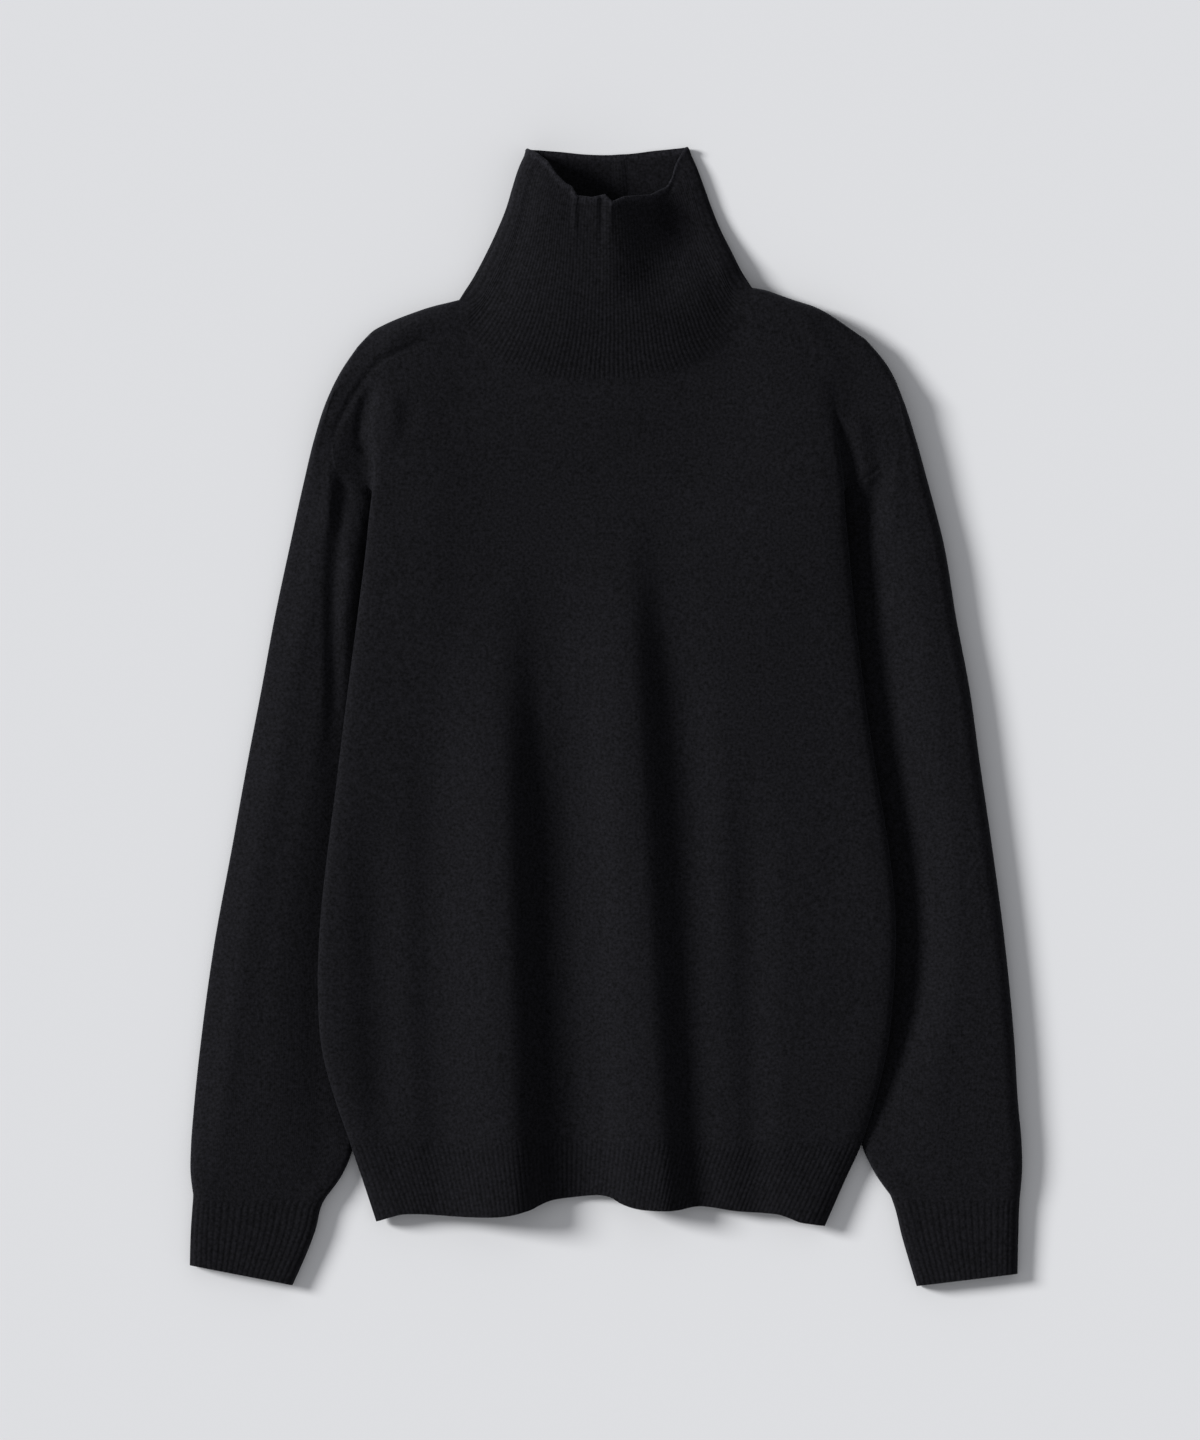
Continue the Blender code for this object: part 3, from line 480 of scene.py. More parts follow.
def collarRing(ring, frontCount, backCount):
    leftX, leftY, rightX, rightY, frontDepth, backDepth, crest, sideHeight, inset, straight, rightRound = ring
    width = leftX + rightX

    def lineY(x):
        return mix(leftY, rightY, (x + leftX) / width)

    def frontPoint(x):
        off = x - (rightX - leftX) / 2
        share = min(abs(off) / (width / 2), 1)
        y = lineY(x) - necklineY(x, straight, frontDepth, leftX, rightX)
        roundness = collar["leftRound"] if off < 0 else rightRound
        return Vector((x, y, mix(sideHeight, crest, 1 - share ** roundness)))

    steps = 120
    fine = [frontPoint(mix(inset - leftX, rightX - inset, i / steps)) for i in range(steps + 1)]
    points = spread(fine, frontCount)
    turn = roundedEdge[-1][0]
    drop = mix(collar["corner"], 1, ease(straight))
    for side, edgeX, start in ((1, rightX, points[-1]), (-1, -leftX, points[0])):
        corner = []
        for turnInset, share in roundedEdge:
            x = edgeX - side * turnInset
            backY = lineY(x) - backDepth * math.sin(math.pi * turnInset / width)
            corner.append(Vector((x, mix(backY, frontPoint(x).y, ease(share) * drop), start.z * share)))
        if side > 0:
            points += corner
            for i in range(1, backCount + 1):
                share = i / (backCount + 1)
                x = mix(rightX - turn, turn - leftX, share)
                points.append(Vector((x, lineY(x) - backDepth * math.sin(math.pi * share), 0)))
        else:
            points += corner[::-1]
    return points


# a net, rows x columns x 3, made finer across by smooth curves through its own points
def curveThrough(net, spacing, closed=False, corners=(), hold=False):
    count = net.shape[1]
    last = count if closed else count - 1
    chord = np.roll(net, -1, 1) - net
    length = np.maximum(np.linalg.norm(chord, axis=2, keepdims=True), 1e-6)
    slope = chord / length
    backSlope, backLength = np.roll(slope, 1, 1), np.roll(length, 1, 1)
    tangent = (backSlope * length + slope * backLength) / (length + backLength)
    leaving, arriving = tangent.copy(), tangent.copy()
    for i in range(count):
        if (not closed and i in (0, count - 1)) or i in corners:
            ahead, behind = (i + 1) % count, (i - 1) % count
            after = tangent[:, ahead] if ahead != count - 1 or closed else slope[:, i]
            before = tangent[:, behind] if behind != 0 or closed else slope[:, behind]
            leaving[:, i] = 1.5 * slope[:, i] - 0.5 * after
            arriving[:, i] = 1.5 * slope[:, behind] - 0.5 * before
    columns = []
    for i in range(last):
        j = (i + 1) % count
        steps = max(1, math.ceil(length[:, i].max() / spacing))
        shares = [k / steps for k in range(steps)]
        edge = cloth["edgeStep"] / length[:, i].max()
        if hold and i == 0:
            shares.insert(1, edge)
        if hold and i == last - 1:
            shares.append(1 - edge)
        for t in shares:
            columns.append((2 * t ** 3 - 3 * t ** 2 + 1) * net[:, i]
                           + (t ** 3 - 2 * t ** 2 + t) * length[:, i] * leaving[:, i]
                           + (3 * t ** 2 - 2 * t ** 3) * net[:, j]
                           + (t ** 3 - t ** 2) * length[:, i] * arriving[:, j])
    if not closed:
        columns.append(net[:, -1])
    return np.stack(columns, 1)


def fineNet(rows, spacing, rowSpacing, closed=False, corners=()):
    net = np.array([[tuple(point.to_3d()) for point in row] for row in rows])
    net = curveThrough(net, spacing, closed, corners)
    return curveThrough(net.transpose(1, 0, 2), rowSpacing, hold=True).transpose(1, 0, 2)


def netNormals(net, closed, side):
    across = (np.roll(net, -1, 1) - np.roll(net, 1, 1)) if closed else np.gradient(net, axis=1)
    normal = np.cross(across, np.gradient(net, axis=0)) * side
    return normal / np.maximum(np.linalg.norm(normal, axis=2, keepdims=True), 1e-9)


# the place on a neighbour's edge nearest to each point of a row: a segment and the share of the way along it
def nearestPlaces(row, line):
    a, b = line[:-1], line[1:]
    segments, shares = [], []
    for point in row:
        along = np.clip(((point - a) * (b - a)).sum(1) / np.maximum(((b - a) ** 2).sum(1), 1e-9), 0, 1)
        nearest = np.argmin(((a + (b - a) * along[:, None] - point) ** 2).sum(1))
        segments.append(nearest)
        shares.append(along[nearest])
    return np.array(segments), np.array(shares)


# moves a net's first rows onto its neighbour's edge; a seam keeps its first places
def meet(kind, word, line):
    name = kind + word
    net = nets[name]
    if name not in seamPlaces:
        seamPlaces[name] = nearestPlaces(net[0], line)
    segments, shares = seamPlaces[name]
    shift = line[segments] + (line[segments + 1] - line[segments]) * shares[:, None] - net[0]
    nets[name] = net + shift[None] * (1 - ease(rowPlaces(net) / seamReach[kind]))[:, None, None]


# the way along a line to each of its points
def running(points):
    return np.concatenate([[0], np.cumsum(np.linalg.norm(np.diff(points, axis=0), axis=1))])


# distance of each point from a line in plan, and its share of the way along
def alongLine(points, line):
    best = np.full(points.shape[:2], 1e9)
    share = np.zeros(points.shape[:2])
    line = np.array(line, float)
    lengths = running(line)
    for i in range(len(line) - 1):
        a, b = line[i], line[i + 1]
        t = np.clip(((points[..., :2] - a) @ (b - a)) / max(((b - a) ** 2).sum(), 1e-9), 0, 1)
        off = np.linalg.norm(points[..., :2] - a - t[..., None] * (b - a), axis=2)
        nearer = off < best
        best = np.where(nearer, off, best)
        share = np.where(nearer, (lengths[i] + t * (lengths[i + 1] - lengths[i])) / lengths[-1], share)
    return best, share


# how fully each point of a net faces up (1) or down (-1)
def shown(name, faces=1):
    least, span = cloth["facing"]
    return ease((faces * netNormals(nets[name], *turns[name])[..., 2] - least) / span)


# the depth beside a line, that fades out over its half width and towards its ends
def dent(net, line, depth, width, fadeIn, fadeOut):
    off, share = alongLine(net, line)
    grown = ease(share / fadeIn) * ease((1 - share) / fadeOut)
    return depth * grown * np.cos(np.clip(off / width, 0, 1) * math.pi / 2) ** 2


# soft troughs (depth below 0) and ridges in the height of the cloth that faces up (1) or down (-1):
# nets, line, depth, half width, shares of its length that fade in and out
def crease(names, line, depth, width, fadeIn, fadeOut, faces=1):
    for name in names.split():
        nets[name][..., 2] += dent(nets[name], line, depth, width, fadeIn, fadeOut) * shown(name, faces)


# presses the cloth down by a share of its height
def press(names, *line):
    for name in names.split():
        nets[name][..., 2] *= 1 - dent(nets[name], *line)


# evens the height of the upper cloth near a line, alike on all the nets that meet there
def soften(names, line, reach, blur):
    spots, heights, areas = [], [], []
    batch = 400
    for name in names.split():
        net = nets[name]
        cell = np.linalg.norm(np.cross(np.gradient(net, axis=0), np.gradient(net, axis=1)), axis=2)
        near = (alongLine(net, line)[0] < reach + 2.5 * blur) & (shown(name) > 0.5)
        sparse = max(1, round(cloth["spacing"] / np.linalg.norm(np.diff(net, axis=1), axis=2).mean()))
        near &= np.arange(net.shape[1])[None] % sparse == 0
        spots.append(net[near][:, :2])
        heights.append(net[near][:, 2])
        areas.append(cell[near] * sparse)
    spots, heights, areas = map(np.concatenate, (spots, heights, areas))
    for name in names.split():
        net, up = nets[name], shown(name)
        off = alongLine(net, line)[0]
        chosen = np.argwhere((off < reach) & (up > 0))
        for start in range(0, len(chosen), batch):
            r, c = chosen[start:start + batch].T
            gaps = ((net[r, c][:, None, :2] - spots[None]) ** 2).sum(2)
            pull = np.exp(-gaps / (2 * blur * blur)) * areas
            even = (pull * heights).sum(1) / pull.sum(1)
            net[r, c, 2] += (even - net[r, c, 2]) * up[r, c] * (1 - ease(off[r, c] / reach))


# the same beside a seam, where that lies between two places in y and above a height
def softenSeam(kind, names, line):
    low, high, above, reach, blur = softenedSeams[kind]
    line = line[(line[:, 1] > low) & (line[:, 1] < high) & (line[:, 2] > above)]
    soften(names, line[:, :2], reach, blur)


# evens the heights around a closed net
def evenRound(net, blur, weights):
    spacing = np.linalg.norm(np.roll(net, -1, 1) - net, axis=2).mean()
    reach = math.ceil(3 * blur / spacing)
    kernel = np.exp(-0.5 * (np.arange(-reach, reach + 1) * spacing / blur) ** 2)
    kernel /= kernel.sum()
    even = sum(weight * np.roll(net[..., 2], k - reach, 1) for k, weight in enumerate(kernel))
    net[..., 2] += (even - net[..., 2]) * weights[:, None]


def rowPlaces(net):
    return np.concatenate([[0], np.cumsum(np.linalg.norm(np.diff(net, axis=0), axis=2).mean(1))])


def addNet(bm, net, closed, side, grooves=None, tucked=False):
    if grooves is None:
        grooves = np.zeros(net.shape[:2])
    if tucked:
        # a seam allowance that runs on below the neighbour's edge
        back = net[0] - net[1]
        back *= cloth["allowance"] / np.maximum(np.linalg.norm(back, axis=1, keepdims=True), 1e-6)
        below = net[0] + back - netNormals(net, closed, side)[1] * cloth["tuck"]
        net = np.concatenate([below[None], net])
        grooves = np.concatenate([grooves[:1], grooves])
    # distances across and along the knit place its pattern
    middle = net[len(net) // 2]
    across, along = running(middle), rowPlaces(net)
    if closed:
        across = np.append(across, across[-1] + np.linalg.norm(middle[0] - middle[-1]))
        net = np.concatenate([net, net[:, :1]], 1)
        grooves = np.concatenate([grooves, grooves[:, :1]], 1)
    rows, columns = net.shape[:2]
    pattern = bm.loops.layers.uv.verify()
    # the groove layer carries painted shade for the grooves between ribs, and below 0 a painted highlight on the
    # collar's bead
    depth = bm.verts.layers.float.get("groove") or bm.verts.layers.float.new("groove")
    verts = bmesh.ops.create_grid(bm, x_segments=columns - 1, y_segments=rows - 1, size=0.5)["verts"]
    places = {}
    seam = set()
    for vert in verts:
        c = round((vert.co.x + 0.5) * (columns - 1))
        r = round((vert.co.y + 0.5) * (rows - 1))
        places[vert] = (across[c] * millimetre, along[r] * millimetre)
        if tucked and r == 1:
            seam.add(vert)
        vert.co = Vector(net[r][c]) * millimetre
        vert[depth] = grooves[r][c]
    for vert in seam:
        for edge in vert.link_edges:
            if edge.other_vert(vert) in seam:
                edge.smooth = False
    faces = {face for vert in verts for face in vert.link_faces}
    for face in faces:
        for loop in face.loops:
            loop[pattern].uv = places[loop.vert]
    if side < 0:
        bmesh.ops.reverse_faces(bm, faces=list(faces))


def addObject(name, data):
    item = bpy.data.objects.new(name, data)
    bpy.context.scene.collection.objects.link(item)
    return item


def clothPiece(name, pieceNets, material):
    bm = bmesh.new()
    for net in pieceNets:
        addNet(bm, *net)
    bmesh.ops.remove_doubles(bm, verts=bm.verts[:], dist=cloth["weld"] * millimetre)
    for vert in bm.verts:
        vert.co.z = max(vert.co.z, 0.0)
    for edge in bm.edges:
        if edge.is_boundary:
            edge.smooth = False
    mesh = bpy.data.meshes.new(name)
    bm.to_mesh(mesh)
    bm.free()
    mesh.shade_smooth()
    piece = addObject(name, mesh)
    shell = piece.modifiers.new("shell", "SOLIDIFY")
    shell.thickness = cloth["wall"] * millimetre
    shell.offset = -1
    mesh.materials.append(material)
    print(name, len(mesh.polygons), "faces")
    return piece


knit = {
    "colour": (0.0065, 0.0064, 0.0079),
    "heather": 1.6,
    "darkest": 0.25,        # least share of the colour that the heather leaves
    "varied": (0.16, 0.92),     # how far broad spots and the loops lighten it, and from what share; the broad spots are tone that differs at random, the loops' part is painted shade between the loops
    "paintedGrooveShade": 0.55,    # how much painted shade darkens the grooves between ribs
    "wale": 0.0018,         # width and height of a loop, metres
    "course": 0.0013,
    "slant": 0.9,
    "loopRise": (0.35, 0.65),   # how far a loop stands up and down along it, and its mean
    "loopDepth": 0.0001,    # of the loops and of the fuzz, metres
    "fuzzDepth": 0.0004,
    "roughness": (0.2, 0.8),
    "noises": ({"Scale": 500, "Detail": 2, "Roughness": 0.6}, {"Scale": 22, "Detail": 3, "Roughness": 0.6}),
    "bump": {"Strength": 0.6, "Distance": 1.0},
    "surface": {"Specular IOR Level": 0.07, "Sheen Weight": 0.03, "Sheen Roughness": 0.5,
                "Sheen Tint": (0.8, 0.83, 1, 1)},
}


def link(tree, start, end):
    tree.links.new(start, end)


def setInputs(node, values):
    for name, value in values.items():
        node.inputs[name].default_value = value


def mathNode(tree, operation, *values):
    node = tree.nodes.new("ShaderNodeMath")
    node.operation = operation
    for socket, value in zip(node.inputs, values):
        if isinstance(value, (int, float)):
            socket.default_value = value
        else:
            link(tree, value, socket)
    return node.outputs[0]


def newGroup(name, *outputs):
    group = bpy.data.node_groups.new(name, "ShaderNodeTree")
    group.interface.new_socket("Place", in_out="INPUT", socket_type="NodeSocketVector")
    for output in outputs:
        group.interface.new_socket(output, in_out="OUTPUT", socket_type="NodeSocketFloat")
    start, end = group.nodes.new("NodeGroupInput"), group.nodes.new("NodeGroupOutput")
    return group, start.outputs["Place"], end.inputs


# the loops of plain knit as a height from 0 to 1, from distances along and across the cloth
def stitchGroup():
    group, place, ends = newGroup("stitches", "Height")
    parts = group.nodes.new("ShaderNodeSeparateXYZ")
    link(group, place, parts.inputs[0])
    u = mathNode(group, "DIVIDE", parts.outputs[0], knit["wale"])
    v = mathNode(group, "DIVIDE", parts.outputs[1], knit["course"])
    off = mathNode(group, "ABSOLUTE", mathNode(group, "SUBTRACT", mathNode(group, "FRACT", u), 0.5))
    leg = mathNode(group, "SINE", mathNode(group, "MULTIPLY", off, 2 * math.pi))
    slanted = mathNode(group, "ADD", v, mathNode(group, "MULTIPLY", off, knit["slant"]))
    row = mathNode(group, "SINE", mathNode(group, "MULTIPLY", slanted, 2 * math.pi))
    row = mathNode(group, "MULTIPLY_ADD", row, *knit["loopRise"])
    link(group, mathNode(group, "MULTIPLY", leg, row), ends[0])
    return group


# fuzz and heather as a mask around 0.5
def fuzzGroup():
    group, place, ends = newGroup("yarnFuzz", "Fine", "Broad")
    for values, end in zip(knit["noises"], ends):
        noise = group.nodes.new("ShaderNodeTexNoise")
        setInputs(noise, values)
        link(group, place, noise.inputs["Vector"])
        link(group, noise.outputs["Fac"], end)
    return group


stitches, fuzz = stitchGroup(), fuzzGroup()


def knitMaterial(name, ribbed):
    material = bpy.data.materials.new(name)
    material.use_nodes = True
    tree = material.node_tree
    shader = tree.nodes["Principled BSDF"]
    coords = tree.nodes.new("ShaderNodeTexCoord")
    loops = tree.nodes.new("ShaderNodeGroup")
    loops.node_tree = stitches
    link(tree, coords.outputs["UV"], loops.inputs["Place"])
    yarn = tree.nodes.new("ShaderNodeGroup")
    yarn.node_tree = fuzz
    link(tree, coords.outputs["Object"], yarn.inputs["Place"])
    fine = yarn.outputs["Fine"]
    shade = mathNode(tree, "MULTIPLY_ADD", fine, 2 * knit["heather"], 1 - knit["heather"])
    shade = mathNode(tree, "MAXIMUM", shade, knit["darkest"])
    # broad noise varies the tone at random; the loops' height darkens the hollows between them, a painted shade
    for source in (yarn.outputs["Broad"], loops.outputs[0]):
        shade = mathNode(tree, "MULTIPLY", shade, mathNode(tree, "MULTIPLY_ADD", source, *knit["varied"]))
    # ribbed cloth: painted shade darkens the grooves between ribs; below 0 the same attribute paints the collar's
    # bead lighter, a painted highlight
    if ribbed:
        depth = tree.nodes.new("ShaderNodeAttribute")
        depth.attribute_name = "groove"
        groove = mathNode(tree, "MULTIPLY_ADD", depth.outputs["Fac"], -knit["paintedGrooveShade"], 1)
        shade = mathNode(tree, "MULTIPLY", shade, groove)
    tint = tree.nodes.new("ShaderNodeVectorMath")
    tint.operation = "SCALE"
    tint.inputs[0].default_value = knit["colour"]
    link(tree, shade, tint.inputs["Scale"])
    link(tree, tint.outputs[0], shader.inputs["Base Color"])
    bump = tree.nodes.new("ShaderNodeBump")
    setInputs(bump, knit["bump"])
    raised = mathNode(tree, "MULTIPLY", fine, knit["fuzzDepth"])
    raised = mathNode(tree, "MULTIPLY_ADD", loops.outputs[0], knit["loopDepth"], raised)
    link(tree, raised, bump.inputs["Height"])
    link(tree, bump.outputs[0], shader.inputs["Normal"])
    link(tree, mathNode(tree, "MULTIPLY_ADD", fine, *knit["roughness"]), shader.inputs["Roughness"])
    setInputs(shader, knit["surface"])
    return material


materials = {"knit": knitMaterial("plainKnit", False), "rib": knitMaterial("ribKnit", True)}
print("materials made")

creases = [
    # the seam over the left shoulder and down the armhole
    ("front shoulderLeft sleeveLeft",
     [(-112, 265), (-130, 258.7), (-143, 253), (-155.6, 247.6), (-163.2, 240), (-174.3, 224), (-182, 210.8),
      (-187.5, 197.6), (-189, 184.4), (-188, 174)], -1.2, 4.5, 0.25, 0.2),
    # the fold that runs into the left underarm
    ("front", [(-160, 232), (-164.5, 222), (-167.5, 208), (-168.5, 196), (-166, 186), (-161, 178)],
     -3.4, 9, 0.3, 0.15),
    ("front", [(-148, 232), (-149, 205), (-151, 178)], 1.0, 10, 0.3, 0.3),
    ("front", [(-137, 226), (-136, 208), (-138, 190)], -1.2, 11, 0.4, 0.5),
    # the cloth beside the right underarm
    ("front sleeveRight", [(171, 216), (174, 192), (179, 168), (184, 146)], 3.2, 14, 0.3, 0.3),
    ("front sleeveRight", [(192.5, 183), (190, 172.5), (181.5, 166), (176, 161)], -0.8, 2.6, 0.3, 0.2),
    # the valleys right of the long folds
    ("front hem", [(-44, 135), (-41, 0), (-37, -100), (-33, -200), (-26, -345)], -3.8, 24, 0.55, 0.02),
    ("front hem", [(42, 160), (48, 60), (56, -20), (63, -110), (67, -200), (72.5, -395)], -4.2, 27, 0.41, 0.02),
    ("front hem", [(99, 0), (100, -100), (99, -200), (102, -390)], -3.0, 25, 0.35, 0.02),
    ("front hem", [(-22, 60), (-18, -60), (-13, -160), (-9, -345)], -3.8, 28, 0.3, 0.02),
    ("front hem", [(-162, -40), (-159, -150), (-154, -280), (-148, -340)], -3.2, 24, 0.4, 0.3),
    ("front", [(76, -262), (84, -270), (90, -281)], -1.0, 5, 0.4, 0.4),
    ("sleeveLeft", [(-183, 184), (-185, 150), (-189, 93), (-189.5, 66), (-189, 9), (-191, -20), (-194, -62)],
     -3.2, 9, 0.2, 0.5),
    ("sleeveLeft", [(-167, 177), (-169, 157), (-173, 122), (-177, 89), (-181, 58), (-185, 27)],
     3.0, 12, 0.3, 0.5),
    # the collar's small folds below its rim
    ("collar", [(30, 407), (33, 376), (36, 345), (36, 318), (31, 277)], -6.6, 35, 0.02, 0.244),
    ("collar", [(-21.5, 370), (-21.5, 345), (-22, 318)], 1.0, 3.2, 0.05, 0.8),
    ("collar", [(-3, 366), (-3, 345), (-4, 312)], -1.2, 4, 0.1, 0.8),
    ("collar", [(4, 364), (3.5, 345), (2, 322)], 0.7, 3, 0.1, 0.8),
    # broad creases in the back, from below
    ("back", [(-60, 180), (-40, 60), (-48, -40)], 1.2, 22, 0.4, 0.4, -1),
    ("back", [(70, 90), (58, -60), (66, -210)], 1.4, 26, 0.4, 0.3, -1),
]
pressed = [
    ("sleeveLeft", [(-190, 228), (-202.5, 193), (-219.4, 119), (-239.4, 18), (-259.5, -90), (-272, -158),
                    (-286, -270), (-288, -330)], 0.38, 24, 0.16, 0.12),
    ("sleeveRight", [(166, 178), (171.5, 150), (175.7, 114), (182, 82), (187.5, 58.7), (193, 10.8),
                     (209, -92.7), (210.4, -162), (207.6, -196.9), (188.9, -266.3)], 0.6, 38, 0.2, 0.2),
    ("collar", [(50, 420), (66, 372), (68, 355), (55, 330), (40, 312)], 0.5, 48, 0.02, 0.276),
    ("front hem", [(-142, 225), (-152, 100), (-165, -20), (-180, -180), (-165, -289), (-150, -350)],
     0.2, 45, 0.15, 0.1),
    ("front hem", [(160, 200), (160, 60), (168, -60), (180, -180), (168, -289), (150, -350)],
     0.26, 86, 0.25, 0.1),
    ("collar", [(-17, 410), (-20, 350), (-22, 318), (-26, 296)], 0.14, 68, 0.05, 0.243),
]
# evened places: nets, line, reach and blur
softened = [
    ("front", [(-164, 240), (-166, 222), (-166.5, 205), (-165, 190)], 10, 3.5),
    ("front shoulderRight sleeveRight", [(158, 270), (168, 252), (175, 230), (175, 217)], 26, 9),
    ("front", [(161, 252), (162.5, 232), (164.5, 215)], 19, 8),
]
# evened seams: between which places in y, above what height, reach and blur
softenedSeams = {
    "shoulder": (0, 400, 0, 14, 4), "armhole": (186, 400, 3, 20, 5), "neck": (0, 400, 3, 16, 4.5),
    "underarmLeft": (163, 192, 8, 11, 3), "underarmRight": (163, 192, 8, 10, 2.5),
}

front = frontRows()
sideCount = len(sideSection(-1, 0)) + body["shoulderColumns"]
shoulders = {-1: shoulderRows(-1, front[-1][:sideCount]), 1: shoulderRows(1, front[-1][::-1][:sideCount])}
back = backRows(front, shoulders)
hem = hemRows(front[0])
hemBack = [back[0]]
for row in hem[2:]:
    hemBack.append(flatRow(backSide(-1, row[0]), backSide(1, row[-1]), len(back[0]), back[-1], 0))
for i, point in enumerate(hemBack[-1]):
    off = abs(2 * i / (len(hemBack[-1]) - 1) - 1)
    point.y += body["backHemRise"] * (1 - off ** body["backHemCurve"])


# the long folds, that fade out before the rolled sides
def withFolds(net):
    crests = {}
    steps = 300
    ys = np.linspace(net[..., 1].min(), net[..., 1].max(), steps)
    for side, column in ((-1, 1), (1, 2)):
        half = np.array([readTable(body["edges"], y)[column] for y in ys]) - body["crestInset"]
        crests[side] = np.interp(net[..., 1], ys, half)
    margin = body["foldMargin"]
    window = ease((crests[-1] + net[..., 0]) / margin) * ease((crests[1] - net[..., 0]) / margin)
    lifted = net.copy()
    lifted[..., 2] += foldHeight(net[..., 0], net[..., 1]) * window
    return lifted


# every net's closedness and which way its faces turn
turns = {
    "front": (False, 1), "back": (False, -1), "shoulderLeft": (False, 1), "shoulderRight": (False, -1),
    "hem": (False, -1), "hemBack": (False, 1), "sleeveLeft": (True, 1), "sleeveRight": (True, -1),
    "cuffLeft": (True, 1), "cuffRight": (True, -1), "collar": (True, 1),
}
sideWords = {-1: "Left", 1: "Right"}
neckCorners = (sideCount - 1, len(front[0]) - sideCount)
ribStep = rib["pitch"] / rib["pointsPerRib"]
nets = {
    "front": withFolds(fineNet(front, cloth["spacing"], cloth["rowSpacing"], corners=neckCorners)),
    "back": fineNet(back, cloth["backSpacing"], cloth["backSpacing"]),
    "hem": withFolds(fineNet(hem, ribStep, rib["rowSpacing"])),
    "hemBack": fineNet(hemBack, *rib["hemBackSpacing"]),
}
tubes, seamPlaces = {}, {}
for side, word in sideWords.items():
    nets["shoulder" + word] = fineNet(shoulders[side], cloth["spacing"], cloth["shoulderRowSpacing"])
    tubes[side] = [armhole(side, front, shoulders[side], back)]
    for ring, form in zip(sleeves["rings"][side], sleeves["forms"]):
        tubes[side].append(tubeRing(side, *ring, *form))
    sleeve = tubes[side][:-sleeves["cuffRings"]]
    nets["sleeve" + word] = fineNet(sleeve, cloth["spacing"], cloth["sleeveRowSpacing"], closed=True)

base = collarBase(front, shoulders, back)
backCount = len(base) - (body["neckColumns"] + 1) - 2 * len(roundedEdge)
collarRows = [base] + [collarRing(ring, body["neckColumns"] + 1, backCount) for ring in collar["rings"]]
nets["collar"] = fineNet(collarRows, ribStep * rib["collarStep"], rib["collarRowSpacing"], closed=True)
blur, begin = collar["evened"]
evenRound(nets["collar"], blur, ease(rowPlaces(nets["collar"]) / begin))


# the edges that a sleeve and the collar are sewn to
def armLine(side):
    column = 0 if side < 0 else -1
    low = body["underarmY"] - cloth["slack"]
    frontEdge, backEdge = nets["front"][:, column], nets["back"][:, column]
    frontEdge, backEdge = frontEdge[frontEdge[:, 1] >= low], backEdge[backEdge[:, 1] >= low]
    return np.concatenate([frontEdge, nets["shoulder" + sideWords[side]][1:, 0], backEdge[::-1]])


def neckRing():
    edge = nets["front"][-1]
    across = edge[np.abs(edge[:, 0]) <= body["shoulderSeam"][1][0][0] + cloth["slack"]]
    behind = nets["back"][-1]
    behind = behind[np.abs(behind[:, 0]) <= body["neckHalf"]][::-1]
    return np.concatenate([across, nets["shoulderRight"][:, -1], behind, nets["shoulderLeft"][::-1, -1]])


def joinAll():
    for side, word in sideWords.items():
        seam = nets["front"][-1]
        seam = seam[side * seam[:, 0] >= body["shoulderSeam"][side][0][0] - cloth["slack"]]
        meet("shoulder", word, seam)
        meet("sleeve", word, armLine(side))
    meet("collar", "", neckRing())


joinAll()
for side, word in sideWords.items():
    others = "front shoulder" + word
    softenSeam("shoulder", others, nets["shoulder" + word][0])
    softenSeam("armhole", others + " sleeve" + word, armLine(side))
    softenSeam("underarm" + word, "front sleeve" + word, armLine(side))
for line in softened:
    soften(*line)
softenSeam("neck", "front shoulderLeft shoulderRight collar", neckRing())
for line in pressed:
    press(*line)
for line in creases:
    crease(*line)
joinAll()
print("nets made")


# the collar's rim runs unevenly and ends in a small bead, which is painted lighter: a painted highlight
def shapeRim(net):
    rim = net[-1]
    xs, ys = zip(*collar["rimLine"])
    shift = (np.interp(rim[:, 0], xs, ys) - rim[:, 1]) * ease(rim[:, 2] / collar["clearOfFloor"])
    places = rowPlaces(net)
    net[..., 1] += shift[None] * (1 - ease((places[-1] - places) / collar["rimReach"]))[:, None]
    bead = collar["bead"]
    extra = [mix(net[-3], net[-2], share)[None] for share in bead["rows"]]
    net = np.concatenate([net[:-2]] + extra + [net[-2:]])
    places = rowPlaces(net)
    off = (places[-1] - places) / bead["width"] * 2 - 1
    lifted = ease(net[-1, :, 2] / collar["clearOfFloor"])
    bulge = bead["height"] * np.sqrt(np.clip(1 - off * off, 0, 1))[:, None] * lifted[None]
    # painted highlight on the bead's rows
    shade = np.where(off < 1, bead["shade"], 0)
    return net + netNormals(net, *turns["collar"]) * bulge[..., None], shade


def makePiece(name, node, slot, pieceNets):
    piece = clothPiece(name, pieceNets, materials[slot])
    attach(piece, "root")
    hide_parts(node)


# ribs run along a net's columns; their pitch is measured on the reference row
def ribbed(name, reference, rises, shade=0.0):
    net, (closed, side) = nets[name], turns[name]
    row = net[reference]
    place = running(row)
    total = place[-1] + (np.linalg.norm(row[0] - row[-1]) if closed else 0)
    pitch = total / round(total / rib["pitch"])
    groove = (0.5 - 0.5 * np.cos(2 * math.pi * place / pitch)) ** rib["sharpness"]
    # grooves also sets the painted shade in the grooves between ribs; shade adds to it
    grooves = groove[None] * (rises / rib["rise"])[:, None]
    nets[name] = net + netNormals(net, closed, side) * ((1 - groove)[None] * rises[:, None])[..., None]
    return (nets[name], closed, side, grooves + shade, True)


def plain(name, tucked=False):
    return (nets[name], *turns[name], None, tucked)


makePiece("frontPanel", "front", "knit", [plain("front")])
makePiece("backPanel", "back", "knit", [plain("back"), plain("shoulderLeft", True), plain("shoulderRight", True)])
middleY = nets["hem"][:, nets["hem"].shape[1] // 2, 1]
rises = rib["hemRise"] * ease((body["ribTopY"] - middleY) / rib["begin"]["hem"])
makePiece("hemRibFront", "hem_rib_front", "rib", [ribbed("hem", 0, rises)])
makePiece("hemRibBack", "hem_rib_back", "rib", [plain("hemBack")])

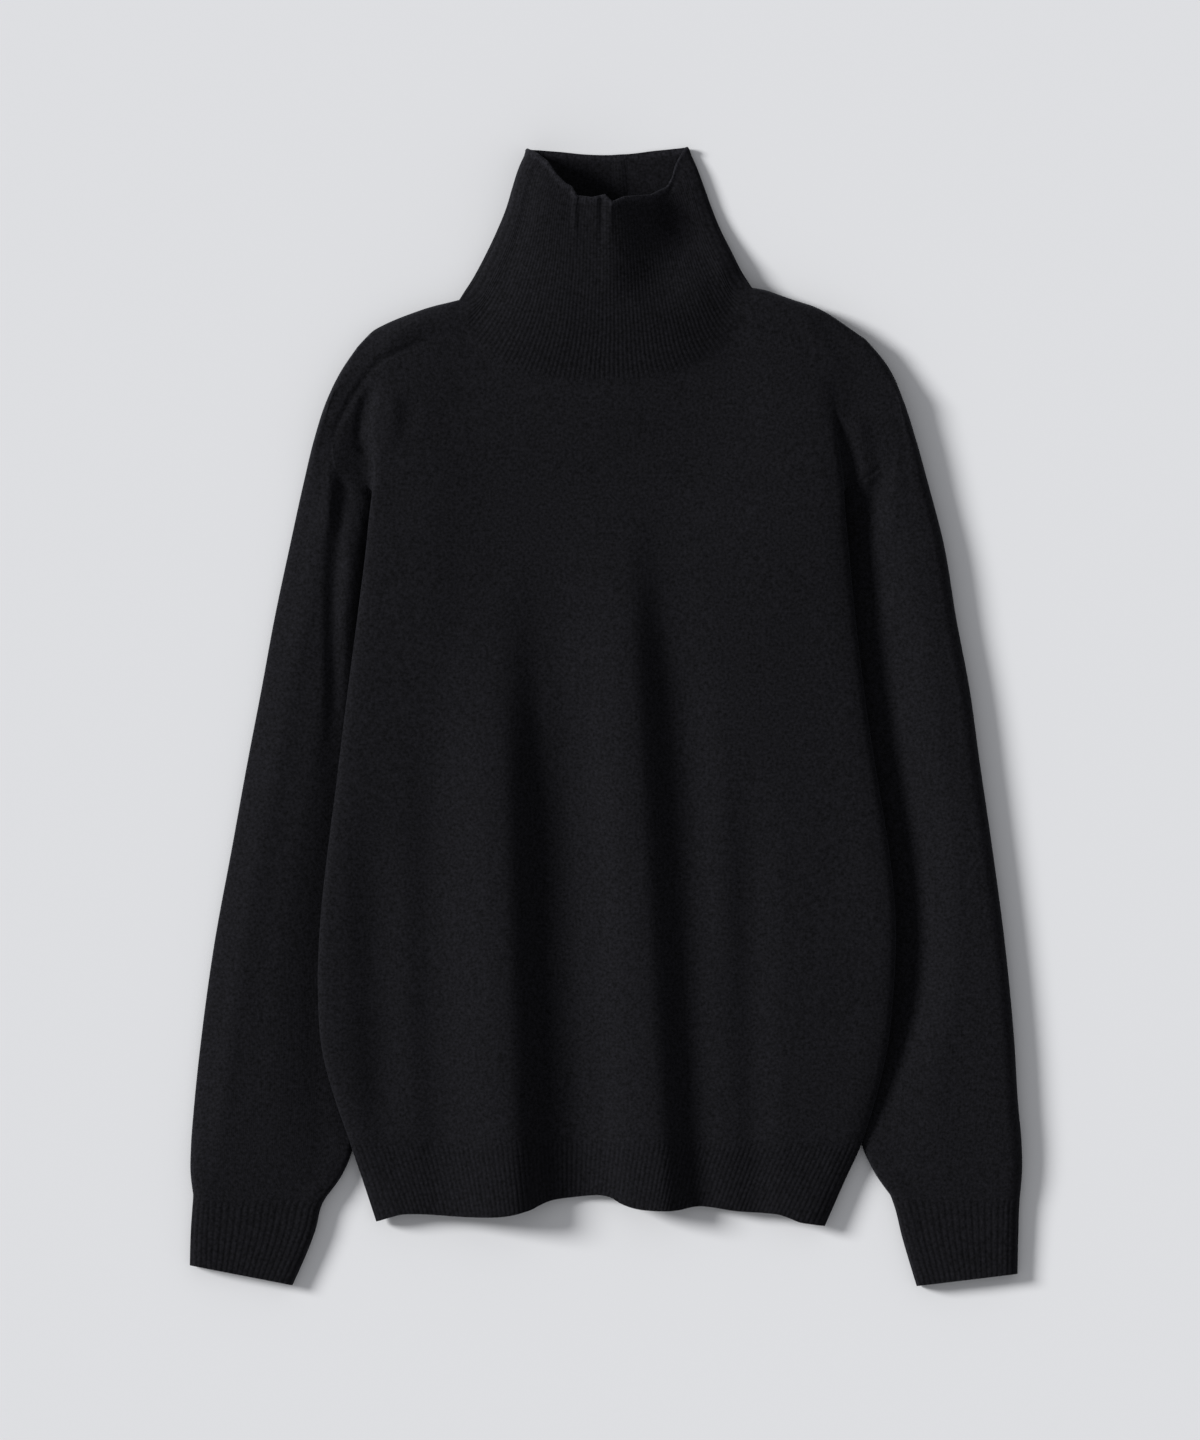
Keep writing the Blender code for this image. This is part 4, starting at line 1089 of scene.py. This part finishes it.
for side, word in sideWords.items():
    makePiece("sleeve" + word, "sleeve_" + word.lower(), "knit", [plain("sleeve" + word, True)])
    cuff = tubes[side][-sleeves["cuffRings"] - 1:]
    nets["cuff" + word] = fineNet(cuff, ribStep, rib["rowSpacing"], closed=True)
    wrist = nets["sleeve" + word][-1]
    meet("cuff", word, np.concatenate([wrist, wrist[:1]]))
    rises = rib["hemRise"] * ease(rowPlaces(nets["cuff" + word]) / rib["begin"]["cuff"])
    makePiece("cuff" + word, "cuff_" + word.lower(), "rib", [ribbed("cuff" + word, -1, rises)])

nets["collar"], rimPaintedHighlight = shapeRim(nets["collar"])
crease("collar", *collar["innerCrease"])
places = rowPlaces(nets["collar"])
fade = 1 - rib["rimFade"] * places / places[-1]
rises = rib["collarRise"] * ease(places / rib["begin"]["collar"]) * fade
makePiece("collar", "neck_collar", "rib", [ribbed("collar", 0, rises, rimPaintedHighlight[:, None])])
print("cloth made")

studio = {
    "floorHalf": 3,         # lengths in metres
    "floorDrop": 0.0003,
    "paper": {"Base Color": (0.78, 0.785, 0.8, 1), "Roughness": 0.9},
    "view": (-0.00417, -0.00243, 20.0),
    "viewEnd": 100,
    "frameHeight": 1.0,
    "keyFrom": (-1, 0.32, 0.52),
    "keyPower": 4.05,
    "keyAngle": 16,
    "sky": {"Color": (0.96, 0.97, 1, 1), "Strength": 0.37},
}

floor = bpy.data.meshes.new("floor")
bm = bmesh.new()
bmesh.ops.create_grid(bm, x_segments=1, y_segments=1, size=studio["floorHalf"])
bm.to_mesh(floor)
bm.free()
floorPiece = addObject("floor", floor)
floorPiece.location.z = -studio["floorDrop"]
paper = bpy.data.materials.new("paper")
paper.use_nodes = True
setInputs(paper.node_tree.nodes["Principled BSDF"], studio["paper"])
floor.materials.append(paper)

key = bpy.data.lights.new("key", "SUN")
key.energy = studio["keyPower"]
key.angle = math.radians(studio["keyAngle"])
addObject("key", key).rotation_euler = Vector(studio["keyFrom"]).to_track_quat("Z", "Y").to_euler()

world = bpy.data.worlds.new("studio")
world.use_nodes = True
setInputs(world.node_tree.nodes["Background"], studio["sky"])
bpy.context.scene.world = world

lens = bpy.data.cameras.new("camera")
lens.sensor_fit = "VERTICAL"
lens.angle = 2 * math.atan(studio["frameHeight"] / 2 / studio["view"][2])
lens.clip_end = studio["viewEnd"]
camera = addObject("camera", lens)
camera.location = studio["view"]
bpy.context.scene.camera = camera
bpy.context.scene.view_settings.view_transform = "Standard"
print("stage made")
